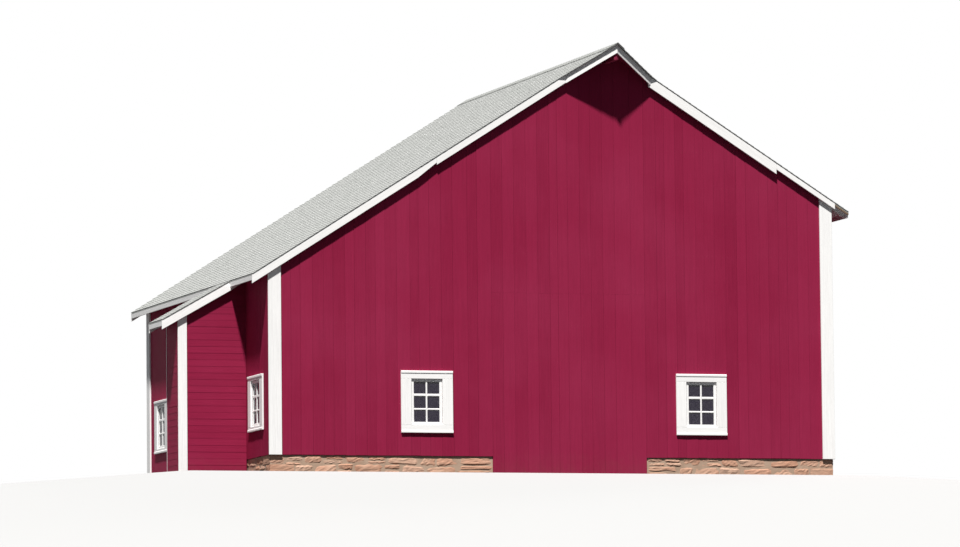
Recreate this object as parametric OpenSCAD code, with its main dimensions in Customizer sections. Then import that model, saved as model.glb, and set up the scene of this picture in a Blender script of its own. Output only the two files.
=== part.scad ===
// Red timber-framed barn with a saltbox roof, a prow hay hood over the front peak
// and a small closet built out from its left side.
// Millimetres, +X along the front gable, +Y to the back, +Z up from the ground.

/* [Walls] */
// Width of the front gable, over the boarding
barn_w = 10400; // [9800:50:11500]
// Depth of the barn from front to back, over the boarding
barn_d = 8300; // [7800:50:9500]
// Thickness of sheathing and siding together
wall_t = 40; // [30:1:60]

/* [Roof] */
// Distance of the ridge from the left side of the front gable
ridge_x = 6220; // [6100:10:6500]
// Height of the shingles at the ridge above the ground
ridge_h = 7570; // [7300:10:7900]
// Rise of the roof for one unit of run
roof_rise = 0.63; // [0.6:0.01:0.66]
// Thickness of roof boards and shingles together
roof_t = 60; // [45:1:80]
// Reach of the roof past the side walls
eave_out = 310; // [240:5:400]
// Reach of the roof edge past the rake boards and fascias
edge_lap = 10; // [5:1:25]
// Thickness of the ridge cap
cap_t = 16; // [10:1:25]
// Reach of the ridge cap down each slope
cap_reach = 150; // [100:5:220]

/* [Hay hood] */
// Half of the hood's width where it leaves the rake
hood_half = 860; // [660:10:1000]
// Reach of the hood's point past the roof edge
hood_out = 540; // [400:10:660]
// Reach of the roof edge past the boards under the hood
hood_lap = 45; // [30:5:60]
// Width of the boards under the edges of the hood
hood_w = 85; // [70:1:105]

/* [Foundation] */
// Height of the stone foundation above the ground
base_h = 335; // [250:5:450]
// Thickness of the foundation walls
stone_t = 450; // [350:10:500]
// Setback of the stone behind the siding
stone_in = 20; // [10:1:35]
// Side of the square stones under the inner posts
pier_w = 420; // [300:10:500]

/* [Wagon doorway] */
// Distance of the doorway from the left side of the gable
door_x = 4050; // [3900:10:4150]
// Width of the boarded doorway
door_w = 2830; // [2600:10:2900]
// Height of the doorway above the ground
door_h = 3200; // [2900:10:3300]

/* [Frame] */
// Side of the square posts, sills and plates
post_w = 200; // [160:5:230]
// Depth of the tie beams
tie_d = 250; // [200:5:300]
// Depth of the door lintel
lintel_d = 200; // [150:5:240]
// Bays between the cross frames
bays = 3; // [2:1:4]
// Run of a corner brace along its post and beam
brace_run = 850; // [600:10:1000]
// Thickness of the braces
brace_t = 100; // [70:5:120]
// Height of the girts, the level timbers behind the siding
girt_h = 120; // [90:5:150]
// Depth of the girts and gable studs
girt_t = 90; // [60:5:120]
// Height of the lower row of girts above the ground
girt_z = 1950; // [1900:10:2050]
// Gap between the upper row of girts and the feet of the braces
girt_drop = 150; // [50:10:250]
// Width of a rafter
rafter_w = 100; // [70:5:120]
// Depth of a rafter
rafter_d = 140; // [120:5:160]
// Spaces between rafters along the roof
rafter_bays = 9; // [8:1:12]
// Height of the level seat cut where a rafter bears on its plate
seat_d = 50; // [35:1:60]
// Width of the ridge beam
ridge_w = 80; // [60:5:100]
// Depth of the ridge beam
ridge_d = 220; // [180:5:260]

/* [Trim] */
// Thickness of the rake boards
rake_t = 28; // [20:1:38]
// Distance of the rake boards' face from the gable wall
rake_reach = 85; // [70:5:110]
// Width of the upper left rake board
rake_left_w = 78; // [65:1:100]
// Width of the lower left rake board
rake_left_low_w = 92; // [75:1:110]
// Width left at the upper end of the lower left rake board
rake_tip_w = 45; // [30:1:60]
// Length of the taper of the lower left rake board, measured level
rake_taper = 350; // [200:10:500]
// Width of the upper right rake board
rake_right_w = 124; // [110:1:145]
// Width of the lower right rake board
rake_right_low_w = 52; // [40:1:65]
// Reach of the lower right rake board past the corner of the barn
rake_end = 45; // [20:5:80]
// Distance of the left splice in the rake from the left side of the gable
splice_left = 3050; // [2700:10:3400]
// Distance of the right splice in the rake from the left side of the gable
splice_right = 9350; // [9000:10:9600]
// Thickness of the fascias and of the boards under the hood
fascia_t = 25; // [18:1:30]
// Height of the fascias, and of the lookouts behind them
fascia_h = 48; // [40:1:60]
// Thickness of the corner boards
corner_t = 28; // [20:1:35]
// Width of the corner boards on the gables
corner_w = 230; // [200:5:260]
// Width of the corner boards at the rear ends of the side walls
corner_side_w = 200; // [160:5:240]

/* [Windows] */
// Width of a window over its casing
casing_w = 940; // [900:5:1000]
// Height of a gable window over its casing
casing_h = 1080; // [1050:5:1110]
// Height of a side window over its casing
side_casing_h = 970; // [950:5:1010]
// Thickness of the casing boards
casing_t = 28; // [20:1:35]
// Reach of the window sill and cap past the casing
casing_nose = 9; // [6:1:20]
// Thickness of the sill and of the cap over a window
nose_h = 45; // [35:1:60]
// Width of the sash
sash_w = 565; // [535:5:615]
// Height of the sash
sash_h = 800; // [765:5:830]
// Thickness of the sash
sash_t = 35; // [25:1:38]
// Width of the sash rails and stiles
sash_rail = 50; // [40:1:60]
// Thickness of the glass
glass_t = 4; // [3:1:6]
// Height of the gable casings above the ground
window_z = 735; // [695:5:755]
// Middle of the left gable windows from the inner posts
window_in = 570; // [510:5:800]
// Middle of the right gable windows from the right side of the gable
window_right = 2495; // [2200:5:2600]
// Middle of the front side windows from the front gable
window_front = 785; // [760:5:820]
// Middle of the rear side windows from the back gable
window_rear = 1000; // [950:5:1400]

/* [Closet] */
// Distance of the closet from the front gable
closet_y = 1450; // [1420:10:1500]
// Reach of the closet past the left side wall
closet_w = 1230; // [1030:10:1430]
// Depth of the closet from front to back
closet_d = 760; // [700:10:850]
// Width of the closet's rake boards
closet_rake = 108; // [88:1:123]
// Width of the closet's corner boards
closet_corner_w = 160; // [130:5:190]
// Width of the opening from the barn into the closet
closet_door_w = 620; // [560:10:660]
// Drop from the wall plate to the head of the closet's opening
closet_head = 1320; // [1300:10:1450]

/* [Hidden] */

barn_red = [0.56, 0.13, 0.20];
trim_white = [0.95, 0.94, 0.92];
shingle_grey = [0.76, 0.76, 0.73];
stone_tan = [0.74, 0.62, 0.50];
timber_brown = [0.50, 0.37, 0.25];
glass_blue = [0.10, 0.12, 0.18, 0.8];

// Lengths measured plumb, across a board or slab that follows the roof slope
slope = sqrt(1 + roof_rise * roof_rise);
roof_v = roof_t * slope;
rafter_v = rafter_d * slope;
rake_left_v = rake_left_w * slope;
rake_left_low_v = rake_left_low_w * slope;
rake_tip_v = rake_tip_w * slope;
rake_right_v = rake_right_w * slope;
rake_right_low_v = rake_right_low_w * slope;
hood_v = hood_w * slope;
closet_rake_v = closet_rake * slope;

rake_out = rake_reach + edge_lap;
rake_in = rake_reach - rake_t;
fascia_out = eave_out - edge_lap;
fascia_in = fascia_out - fascia_t;
door_x2 = door_x + door_w;
closet_y2 = closet_y + closet_d;
closet_eave = closet_w + eave_out;
closet_fascia = closet_w + fascia_out;
hood_tip = -rake_out - hood_out;
hood_slant = hood_out / hood_half;
hood_inset = hood_lap + fascia_t;
hood_inner_tip = hood_tip + hood_inset * sqrt(1 + hood_slant * hood_slant);

// Distance from the ridge at which the hood's boards meet the rake boards
rake_start = (-rake_reach - hood_inner_tip) / hood_slant;

// Middle of the outer box, where the origin lies
mid_x = (barn_w + eave_out - closet_eave) / 2;
mid_y = (barn_d + rake_out + hood_tip) / 2;

// Lines of the frame
frame_x = wall_t;
frame_x2 = barn_w - wall_t;
frame_y = wall_t;
frame_y2 = barn_d - wall_t;
aisle_x = 2 * ridge_x - frame_x2;
bay = (frame_y2 - frame_y - post_w) / bays;
post_z = base_h + post_w;
rafter_step = (frame_y2 - frame_y - rafter_w) / rafter_bays;
left_plate_z = rafter_under(frame_x) + seat_d - post_w;
high_plate_z = rafter_under(frame_x2) + seat_d - post_w;
sash_z = window_z + (casing_h - sash_h) / 2;
side_window_z = sash_z + (sash_h - side_casing_h) / 2;
window_z2 = window_z + casing_h;
side_window_z2 = side_window_z + side_casing_h;
ridge_z0 = deck_under(ridge_x) - ridge_d;
glass_in = (sash_t - glass_t) / 2;
gable_windows = [aisle_x + post_w + window_in, barn_w - window_right];
side_windows = [window_front, barn_d - window_rear];
brace_z = high_plate_z - tie_d - brace_run;
girt_z2 = brace_z - girt_drop - girt_h;
closet_hole_y = (closet_y + closet_y2 - closet_door_w) / 2;
closet_hole_y2 = closet_hole_y + closet_door_w;

// Overrun of a cut past the faces that it cuts
cut = 1;

function roof_top(x) = ridge_h - roof_rise * abs(x - ridge_x);
function deck_under(x) = roof_top(x) - roof_v;
function rafter_under(x) = deck_under(x) - rafter_v;
function fascia_under(x) = deck_under(x) - fascia_h;
function frame_ys() = [for (k = [0:bays]) frame_y + k * bay];

// Puts the origin in the middle of the outer box
module place() translate([-mid_x, -mid_y, 0]) children();

// Runs an upright shape drawn in x and z from y0 to y1
module along_y(y0, y1) translate([0, y1, 0]) rotate([90, 0, 0]) linear_extrude(y1 - y0) children();

// Runs an upright shape drawn in y and z from x0 to x1
module along_x(x0, x1) translate([x0, 0, 0]) rotate([90, 0, 90]) linear_extrude(x1 - x0) children();

// A block between two corners
module block(x0, y0, z0, x1, y1, z1) translate([x0, y0, z0]) cube([x1 - x0, y1 - y0, z1 - z0]);

// A flat rectangle between two corners
module panel(u0, v0, u1, v1) translate([u0, v0]) square([u1 - u0, v1 - v0]);

// Band that follows the roof between x0 and x1, from top_v to bottom_v below the roof boards
module roof_band(x0, x1, top_v, bottom_v)
    polygon([
        [x0, deck_under(x0) - top_v],
        [x0, deck_under(x0) - bottom_v],
        [x1, deck_under(x1) - bottom_v],
        [x1, deck_under(x1) - top_v]
    ]);

// Outline of a gable under the roof boards, from z0 up
module gable_outline(z0)
    polygon([
        [0, z0],
        [0, deck_under(0)],
        [ridge_x, deck_under(ridge_x)],
        [barn_w, deck_under(barn_w)],
        [barn_w, z0]
    ]);

// Window shapes, centred on u
module sash_hole(u) panel(u - sash_w / 2, sash_z, u + sash_w / 2, sash_z + sash_h);

module casing_ring(u, z0, z1)
    difference() {
        panel(u - casing_w / 2, z0, u + casing_w / 2, z1);
        sash_hole(u);
    }

module casing_nose(u, z0, z1) {
    panel(u - casing_w / 2, z0, u + casing_w / 2, z0 + nose_h);
    panel(u - casing_w / 2, z1 - nose_h, u + casing_w / 2, z1);
}

module glass_pane(u)
    panel(
        u - sash_w / 2 + sash_rail, sash_z + sash_rail,
        u + sash_w / 2 - sash_rail, sash_z + sash_h - sash_rail
    );

module sash_ring(u)
    difference() {
        sash_hole(u);
        glass_pane(u);
    }

// Foundation
module foundation_front_left() color(stone_tan) place()
    block(stone_in, stone_in, 0, door_x, stone_in + stone_t, base_h);

module foundation_front_right() color(stone_tan) place()
    block(door_x2, stone_in, 0, barn_w - stone_in, stone_in + stone_t, base_h);

module foundation_sides() color(stone_tan) place()
    for (x = [stone_in, barn_w - stone_in - stone_t])
        block(x, stone_in + stone_t, 0, x + stone_t, barn_d - stone_in - stone_t, base_h);

module foundation_back() color(stone_tan) place()
    block(stone_in, barn_d - stone_in - stone_t, 0, barn_w - stone_in, barn_d - stone_in, base_h);

module pier_stones() color(stone_tan) place()
    for (k = [1:bays - 1])
        translate([aisle_x + post_w / 2 - pier_w / 2, frame_ys()[k] + post_w / 2 - pier_w / 2, 0])
            cube([pier_w, pier_w, base_h]);

// Timber frame
module side_sills() color(timber_brown) place()
    for (x = [frame_x, frame_x2 - post_w])
        block(x, frame_y, base_h, x + post_w, frame_y2, post_z);

module gable_sills() color(timber_brown) place() {
    block(frame_x + post_w, frame_y, base_h, door_x, frame_y + post_w, post_z);
    block(door_x2, frame_y, base_h, frame_x2 - post_w, frame_y + post_w, post_z);
    block(frame_x + post_w, frame_y2 - post_w, base_h, frame_x2 - post_w, frame_y2, post_z);
}

module wall_posts() color(timber_brown) place() {
    for (y = frame_ys()) {
        block(frame_x, y, post_z, frame_x + post_w, y + post_w, left_plate_z);
        block(frame_x2 - post_w, y, post_z, frame_x2, y + post_w, high_plate_z);
    }
    for (x = [door_x - post_w, door_x2], y = [frame_y, frame_y2 - post_w])
        block(x, y, post_z, x + post_w, y + post_w, high_plate_z - tie_d);
}

module inner_posts() color(timber_brown) place()
    for (k = [0:bays])
        block(
            aisle_x, frame_ys()[k], k > 0 && k < bays ? base_h : post_z,
            aisle_x + post_w, frame_ys()[k] + post_w, high_plate_z
        );

// Plates along both side walls and over the inner posts
module plates() color(timber_brown) place() {
    block(frame_x, frame_y, left_plate_z, frame_x + post_w, frame_y2, left_plate_z + post_w);
    block(aisle_x, frame_y, high_plate_z, aisle_x + post_w, frame_y2, high_plate_z + post_w);
    block(frame_x2 - post_w, frame_y, high_plate_z, frame_x2, frame_y2, high_plate_z + post_w);
}

module tie_beams() color(timber_brown) place()
    for (y = frame_ys())
        block(aisle_x + post_w, y, high_plate_z - tie_d, frame_x2 - post_w, y + post_w, high_plate_z);

module aisle_ties() color(timber_brown) place()
    for (y = frame_ys())
        block(frame_x + post_w, y, left_plate_z - post_w, aisle_x, y + post_w, left_plate_z);

// Corner brace under a tie beam, leaning from the post face at x to the side, 1 or -1
module brace_shape(x, side) {
    foot = brace_t / cos(45);
    top = brace_z + brace_run;
    polygon([
        [x, brace_z],
        [x, brace_z + foot],
        [x + side * (brace_run - foot), top],
        [x + side * brace_run, top]
    ]);
}

module braces() color(timber_brown) place()
    for (y = frame_ys())
        along_y(y + (post_w - brace_t) / 2, y + (post_w + brace_t) / 2) {
            brace_shape(aisle_x + post_w, 1);
            brace_shape(frame_x2 - post_w, -1);
        }

module wall_girts() color(timber_brown) place() {
    left_bay = [frame_x + post_w, aisle_x];
    window_bay = [aisle_x + post_w, door_x - post_w];
    door_bay = [door_x, door_x2];
    right_bay = [door_x2 + post_w, frame_x2 - post_w];
    for (span = [left_bay, window_bay, right_bay]) {
        block(span[0], frame_y, girt_z, span[1], frame_y + girt_t, girt_z + girt_h);
        block(span[0], frame_y2 - girt_t, girt_z, span[1], frame_y2, girt_z + girt_h);
    }
    for (span = [window_bay, right_bay]) {
        block(span[0], frame_y, girt_z2, span[1], frame_y + girt_t, girt_z2 + girt_h);
        block(span[0], frame_y2 - girt_t, girt_z2, span[1], frame_y2, girt_z2 + girt_h);
    }
    block(door_bay[0], frame_y, door_h, door_bay[1], frame_y + post_w, door_h + lintel_d);
    block(door_bay[0], frame_y2 - girt_t, girt_z, door_bay[1], frame_y2, girt_z + girt_h);
    block(door_bay[0], frame_y2 - girt_t, girt_z2, door_bay[1], frame_y2, girt_z2 + girt_h);
    for (k = [0:bays - 1]) {
        y0 = frame_ys()[k] + post_w;
        y1 = frame_ys()[k + 1];
        block(frame_x, y0, girt_z, frame_x + girt_t, y1, girt_z + girt_h);
        for (z = [girt_z, girt_z2])
            block(frame_x2 - girt_t, y0, z, frame_x2, y1, z + girt_h);
    }
}

// Studs from the end tie beams up to the end rafters
module gable_studs() color(timber_brown) place()
    for (y = [frame_y, frame_y2 - girt_t])
        along_y(y, y + girt_t)
            for (x = [door_x - post_w / 2, ridge_x, 2 * ridge_x - door_x + post_w / 2])
                intersection() {
                    panel(x - girt_h / 2, high_plate_z, x + girt_h / 2, ridge_h);
                    stud_room();
                }

// Slot for the ridge beam
module ridge_room() panel(ridge_x - ridge_w / 2, ridge_z0, ridge_x + ridge_w / 2, ridge_h);

// Space under the rafters and the ridge beam
module stud_room()
    difference() {
        polygon([
            [0, 0],
            [0, rafter_under(0)],
            [ridge_x, rafter_under(ridge_x)],
            [barn_w, rafter_under(barn_w)],
            [barn_w, 0]
        ]);
        ridge_room();
    }

module rafter_row()
    for (k = [0:rafter_bays])
        along_y(frame_y + k * rafter_step, frame_y + k * rafter_step + rafter_w) children();

module rafters_left() color(timber_brown) place()
    rafter_row()
        difference() {
            roof_band(frame_x, ridge_x - ridge_w / 2, 0, rafter_v);
            panel(frame_x, left_plate_z, frame_x + post_w, left_plate_z + post_w);
            panel(aisle_x, high_plate_z, aisle_x + post_w, high_plate_z + post_w);
        }

module rafters_right() color(timber_brown) place()
    rafter_row()
        difference() {
            roof_band(ridge_x + ridge_w / 2, frame_x2, 0, rafter_v);
            panel(frame_x2 - post_w, high_plate_z, frame_x2, high_plate_z + post_w);
        }

// Ridge beam, run out through the front wall to carry the hood
module ridge_beam() color(timber_brown) place()
    intersection() {
        along_y(hood_tip, frame_y2) ridge_section();
        linear_extrude(ridge_h) hood_plan(hood_inset, frame_y2);
    }

module ridge_section()
    polygon([
        [ridge_x - ridge_w / 2, ridge_z0],
        [ridge_x - ridge_w / 2, deck_under(ridge_x - ridge_w / 2)],
        [ridge_x, deck_under(ridge_x)],
        [ridge_x + ridge_w / 2, deck_under(ridge_x + ridge_w / 2)],
        [ridge_x + ridge_w / 2, ridge_z0]
    ]);

// Plan of the hood's point, drawn in from the roof edge by inset, closed off at y1
module hood_plan(inset, y1) {
    tip = hood_tip + inset * sqrt(1 + hood_slant * hood_slant);
    polygon([
        [ridge_x - hood_half, tip + hood_out],
        [ridge_x, tip],
        [ridge_x + hood_half, tip + hood_out],
        [ridge_x + hood_half, y1],
        [ridge_x - hood_half, y1]
    ]);
}

// Walls
module front_wall() color(barn_red) place()
    along_y(0, wall_t)
        difference() {
            gable_outline(base_h);
            for (x = gable_windows) sash_hole(x);
            panel(door_x, base_h, door_x2, door_h);
            ridge_room();
        }

module doorway_boarding() color(barn_red) place()
    block(door_x, 0, 0, door_x2, wall_t, door_h);

module back_wall() color(barn_red) place()
    along_y(barn_d - wall_t, barn_d)
        difference() {
            gable_outline(base_h);
            for (x = gable_windows) sash_hole(x);
        }

// Stretch of the left wall's boarding from y0 to y1, up from z0
module left_stretch(y0, y1, z0)
    along_y(y0, y1)
        polygon([
            [0, z0],
            [0, deck_under(0)],
            [wall_t, deck_under(wall_t)],
            [wall_t, z0]
        ]);

module left_wall_front() color(barn_red) place()
    difference() {
        left_stretch(wall_t, closet_hole_y, base_h);
        along_x(-cut, wall_t + cut) sash_hole(side_windows[0]);
    }

module left_wall_back() color(barn_red) place()
    difference() {
        left_stretch(closet_hole_y2, barn_d - wall_t, base_h);
        along_x(-cut, wall_t + cut) sash_hole(side_windows[1]);
    }

// Boarding under and over the opening into the closet
module left_wall_closet() color(barn_red) place() {
    block(0, closet_hole_y, base_h, wall_t, closet_hole_y2, post_z);
    left_stretch(closet_hole_y, closet_hole_y2, left_plate_z - closet_head);
}

module right_wall() color(barn_red) place()
    difference() {
        along_y(wall_t, barn_d - wall_t)
            polygon([
                [barn_w - wall_t, base_h],
                [barn_w - wall_t, deck_under(barn_w - wall_t)],
                [barn_w, deck_under(barn_w)],
                [barn_w, base_h]
            ]);
        along_x(barn_w - wall_t - cut, barn_w + cut)
            for (y = side_windows) sash_hole(y);
    }

module closet_end(y)
    along_y(y, y + wall_t)
        polygon([[-closet_w, 0], [-closet_w, deck_under(-closet_w)], [0, deck_under(0)], [0, 0]]);

module closet_end_walls() color(barn_red) place() {
    closet_end(closet_y);
    closet_end(closet_y2 - wall_t);
}

module closet_side_wall() color(barn_red) place()
    along_y(closet_y + wall_t, closet_y2 - wall_t)
        polygon([
            [-closet_w, 0],
            [-closet_w, deck_under(-closet_w)],
            [wall_t - closet_w, deck_under(wall_t - closet_w)],
            [wall_t - closet_w, 0]
        ]);

// Roof
module roof_left() color(shingle_grey) place()
    intersection() {
        along_y(hood_tip, barn_d + rake_out) roof_band(-eave_out, ridge_x, -roof_v, 0);
        linear_extrude(ridge_h)
            polygon([
                [-eave_out, -rake_out],
                [ridge_x - hood_half, -rake_out],
                [ridge_x, hood_tip],
                [ridge_x, barn_d + rake_out],
                [-eave_out, barn_d + rake_out]
            ]);
    }

module roof_right() color(shingle_grey) place()
    intersection() {
        along_y(hood_tip, barn_d + rake_out) roof_band(ridge_x, barn_w + eave_out, -roof_v, 0);
        linear_extrude(ridge_h)
            polygon([
                [barn_w + eave_out, -rake_out],
                [ridge_x + hood_half, -rake_out],
                [ridge_x, hood_tip],
                [ridge_x, barn_d + rake_out],
                [barn_w + eave_out, barn_d + rake_out]
            ]);
    }

module closet_roof() color(shingle_grey) place()
    along_y(closet_y - rake_out, closet_y2 + rake_out)
        roof_band(-closet_eave, -eave_out, -roof_v, 0);

module ridge_cap() color(shingle_grey) place()
    intersection() {
        along_y(hood_tip, barn_d + rake_out)
            polygon([
                [ridge_x - cap_reach, roof_top(ridge_x - cap_reach)],
                [ridge_x, ridge_h],
                [ridge_x + cap_reach, roof_top(ridge_x + cap_reach)],
                [ridge_x + cap_reach, roof_top(ridge_x + cap_reach) + cap_t],
                [ridge_x, ridge_h + cap_t],
                [ridge_x - cap_reach, roof_top(ridge_x - cap_reach) + cap_t]
            ]);
        linear_extrude(ridge_h + cap_t) hood_plan(0, barn_d + rake_out);
    }

// Trim
module rake_pair(half_gap) {
    taper_x = splice_left - rake_taper;
    polygon([
        [-fascia_out, deck_under(-fascia_out)],
        [-fascia_out, deck_under(-fascia_out) - rake_left_low_v],
        [taper_x, deck_under(taper_x) - rake_left_low_v],
        [splice_left, deck_under(splice_left) - rake_tip_v],
        [splice_left, deck_under(splice_left)]
    ]);
    roof_band(splice_left, ridge_x - half_gap, 0, rake_left_v);
    roof_band(ridge_x + half_gap, splice_right, 0, rake_right_v);
    roof_band(splice_right, barn_w + rake_end, 0, rake_right_low_v);
}

module rake_boards_front() color(trim_white) place()
    along_y(-rake_reach, -rake_in) rake_pair(rake_start);

module rake_boards_back() color(trim_white) place()
    along_y(barn_d + rake_in, barn_d + rake_reach) rake_pair(0);

// Boards under the edges of the hood, mitred at the point
module hood_boards() color(trim_white) place()
    intersection() {
        along_y(hood_tip, -rake_reach) {
            roof_band(ridge_x - hood_half, ridge_x, 0, hood_v);
            roof_band(ridge_x, ridge_x + hood_half, 0, hood_v);
        }
        linear_extrude(ridge_h)
            difference() {
                hood_plan(hood_lap, 0);
                hood_plan(hood_inset, cut);
            }
    }

// Thin board that hangs from the roof boards between x0 and x1, its lower edge level
module fascia_section(x0, x1, low)
    polygon([[x0, low], [x0, deck_under(x0)], [x1, deck_under(x1)], [x1, low]]);

module eave_fascias() color(trim_white) place() {
    for (span = [[-rake_in, closet_y - rake_reach], [closet_y2 + rake_reach, barn_d + rake_in]])
        along_y(span[0], span[1]) fascia_section(-fascia_out, -fascia_in, fascia_under(-fascia_out));
    along_y(-rake_in, barn_d + rake_in)
        fascia_section(barn_w + fascia_in, barn_w + fascia_out, fascia_under(barn_w + fascia_out));
}

// Row of short lookouts under the roof boards, evenly spaced from y0 to y1
module lookout_row(y0, y1) {
    count = max(1, round((y1 - y0 - rafter_w) / rafter_step));
    for (k = [0:count]) {
        y = y0 + k * (y1 - y0 - rafter_w) / count;
        along_y(y, y + rafter_w) children();
    }
}

module eave_lookouts() color(trim_white) place() {
    for (span = [[frame_y, closet_y - rake_out - rafter_w], [closet_y2 + rake_out + rafter_w, frame_y2]])
        lookout_row(span[0], span[1]) roof_band(-fascia_in, 0, 0, fascia_h);
    lookout_row(frame_y, frame_y2) roof_band(barn_w, barn_w + fascia_in, 0, fascia_h);
    for (y = [closet_y, closet_y2 - rafter_w])
        along_y(y, y + rafter_w) roof_band(-closet_w - fascia_in, -closet_w, 0, fascia_h);
}

module corner_board(y, x0, x1)
    along_y(y, y + corner_t)
        polygon([[x0, base_h], [x0, deck_under(x0)], [x1, deck_under(x1)], [x1, base_h]]);

// Corner boards of the gables, with boards round the rear corners under the lookouts
module corner_boards() color(trim_white) place() {
    corner_board(-corner_t, 0, corner_w);
    corner_board(-corner_t, barn_w - corner_w, barn_w);
    corner_board(barn_d, -corner_t, corner_w);
    corner_board(barn_d, barn_w - corner_w, barn_w + corner_t);
    for (x = [-corner_t, barn_w])
        along_y(barn_d - corner_side_w, barn_d)
            polygon([
                [x, base_h],
                [x, fascia_under(x)],
                [x + corner_t, fascia_under(x + corner_t)],
                [x + corner_t, base_h]
            ]);
}

module closet_corner_boards() color(trim_white) place()
    for (y = [closet_y - corner_t, closet_y2])
        along_y(y, y + corner_t)
            polygon([
                [-closet_w, 0],
                [-closet_w, deck_under(-closet_w)],
                [closet_corner_w - closet_w, deck_under(closet_corner_w - closet_w)],
                [closet_corner_w - closet_w, 0]
            ]);

// Rake boards and fascia of the closet
module closet_roof_boards() color(trim_white) place() {
    for (y = [closet_y - rake_reach, closet_y2 + rake_in])
        along_y(y, y + rake_t) roof_band(-closet_fascia, 0, 0, closet_rake_v);
    along_y(closet_y - rake_in, closet_y2 + rake_in)
        fascia_section(-closet_fascia, fascia_t - closet_fascia, fascia_under(-closet_fascia));
}

// Windows
module gable_window_casings() color(trim_white) place()
    for (x = gable_windows) {
        along_y(-casing_t, 0) casing_ring(x, window_z, window_z2);
        along_y(-casing_t - casing_nose, -casing_t) casing_nose(x, window_z, window_z2);
        along_y(barn_d, barn_d + casing_t) casing_ring(x, window_z, window_z2);
        along_y(barn_d + casing_t, barn_d + casing_t + casing_nose) casing_nose(x, window_z, window_z2);
    }

module side_window_casings() color(trim_white) place()
    for (y = side_windows) {
        along_x(-casing_t, 0) casing_ring(y, side_window_z, side_window_z2);
        along_x(-casing_t - casing_nose, -casing_t) casing_nose(y, side_window_z, side_window_z2);
        along_x(barn_w, barn_w + casing_t) casing_ring(y, side_window_z, side_window_z2);
        along_x(barn_w + casing_t, barn_w + casing_t + casing_nose)
            casing_nose(y, side_window_z, side_window_z2);
    }

module gable_window_sashes() color(trim_white) place()
    for (x = gable_windows) {
        along_y(0, sash_t) sash_ring(x);
        along_y(barn_d - sash_t, barn_d) sash_ring(x);
    }

module side_window_sashes() color(trim_white) place()
    for (y = side_windows) {
        along_x(0, sash_t) sash_ring(y);
        along_x(barn_w - sash_t, barn_w) sash_ring(y);
    }

module gable_window_glass() color(glass_blue) place()
    for (x = gable_windows) {
        along_y(glass_in, glass_in + glass_t) glass_pane(x);
        along_y(barn_d - glass_in - glass_t, barn_d - glass_in) glass_pane(x);
    }

module side_window_glass() color(glass_blue) place()
    for (y = side_windows) {
        along_x(glass_in, glass_in + glass_t) glass_pane(y);
        along_x(barn_w - glass_in - glass_t, barn_w - glass_in) glass_pane(y);
    }

foundation_front_left();
foundation_front_right();
foundation_sides();
foundation_back();
pier_stones();
side_sills();
gable_sills();
wall_posts();
inner_posts();
plates();
tie_beams();
aisle_ties();
braces();
wall_girts();
gable_studs();
rafters_left();
rafters_right();
ridge_beam();
front_wall();
doorway_boarding();
left_wall_front();
left_wall_back();
left_wall_closet();
right_wall();
back_wall();
closet_end_walls();
closet_side_wall();
roof_left();
roof_right();
closet_roof();
ridge_cap();
rake_boards_front();
rake_boards_back();
hood_boards();
eave_fascias();
eave_lookouts();
corner_boards();
closet_corner_boards();
closet_roof_boards();
gable_window_casings();
side_window_casings();
gable_window_sashes();
side_window_sashes();
gable_window_glass();
side_window_glass();
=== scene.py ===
import math
import random

import bpy
import numpy as np
from mathutils import Matrix, Vector


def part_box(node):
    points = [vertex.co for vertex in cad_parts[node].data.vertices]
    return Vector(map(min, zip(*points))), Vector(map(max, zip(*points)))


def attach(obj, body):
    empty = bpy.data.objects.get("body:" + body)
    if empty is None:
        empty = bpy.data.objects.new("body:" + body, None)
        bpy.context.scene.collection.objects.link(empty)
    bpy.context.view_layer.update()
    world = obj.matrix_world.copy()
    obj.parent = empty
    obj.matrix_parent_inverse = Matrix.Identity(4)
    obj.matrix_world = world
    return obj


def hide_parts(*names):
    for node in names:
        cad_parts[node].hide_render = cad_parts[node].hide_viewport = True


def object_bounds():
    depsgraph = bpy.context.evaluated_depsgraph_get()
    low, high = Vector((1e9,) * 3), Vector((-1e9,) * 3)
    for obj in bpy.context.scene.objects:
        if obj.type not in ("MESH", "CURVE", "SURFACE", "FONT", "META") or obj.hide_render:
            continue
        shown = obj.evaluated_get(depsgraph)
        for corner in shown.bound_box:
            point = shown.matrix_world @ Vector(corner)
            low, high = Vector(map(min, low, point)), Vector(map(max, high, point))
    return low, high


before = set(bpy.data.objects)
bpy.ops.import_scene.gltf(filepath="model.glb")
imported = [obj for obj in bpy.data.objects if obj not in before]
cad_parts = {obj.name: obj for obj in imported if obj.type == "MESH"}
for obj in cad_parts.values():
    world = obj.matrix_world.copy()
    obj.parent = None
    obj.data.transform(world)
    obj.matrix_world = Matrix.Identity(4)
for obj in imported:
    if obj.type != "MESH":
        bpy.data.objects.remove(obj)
cad_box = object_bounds()

# Places and slopes read from the frame, in metres
wall_low, wall_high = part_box("front_wall")
LEFT, RIGHT, FRONT, BASE = wall_low.x, wall_high.x, wall_low.y, wall_low.z
WALL_T = wall_high.y - wall_low.y
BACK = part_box("back_wall")[1].y
door_low, door_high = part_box("doorway_boarding")
roof_low, roof_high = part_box("roof_left")
right_low, right_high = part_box("roof_right")
RIDGE_X, RIDGE_Z = roof_high.x, roof_high.z
EAVE_LEFT, EAVE_RIGHT = roof_low.x, right_high.x
HOOD_TIP, ROOF_BACK = roof_low.y, roof_high.y
RISE = (right_low.z - roof_low.z) / (2 * RIDGE_X - EAVE_LEFT - EAVE_RIGHT)
SLOPE = math.hypot(1, RISE)
COS, SIN = 1 / SLOPE, RISE / SLOPE
ROOF_V = RIDGE_Z - roof_low.z - RISE * (RIDGE_X - EAVE_LEFT)
ROOF_T = ROOF_V * COS
fascia_low, fascia_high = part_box("eave_fascias")
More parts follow.
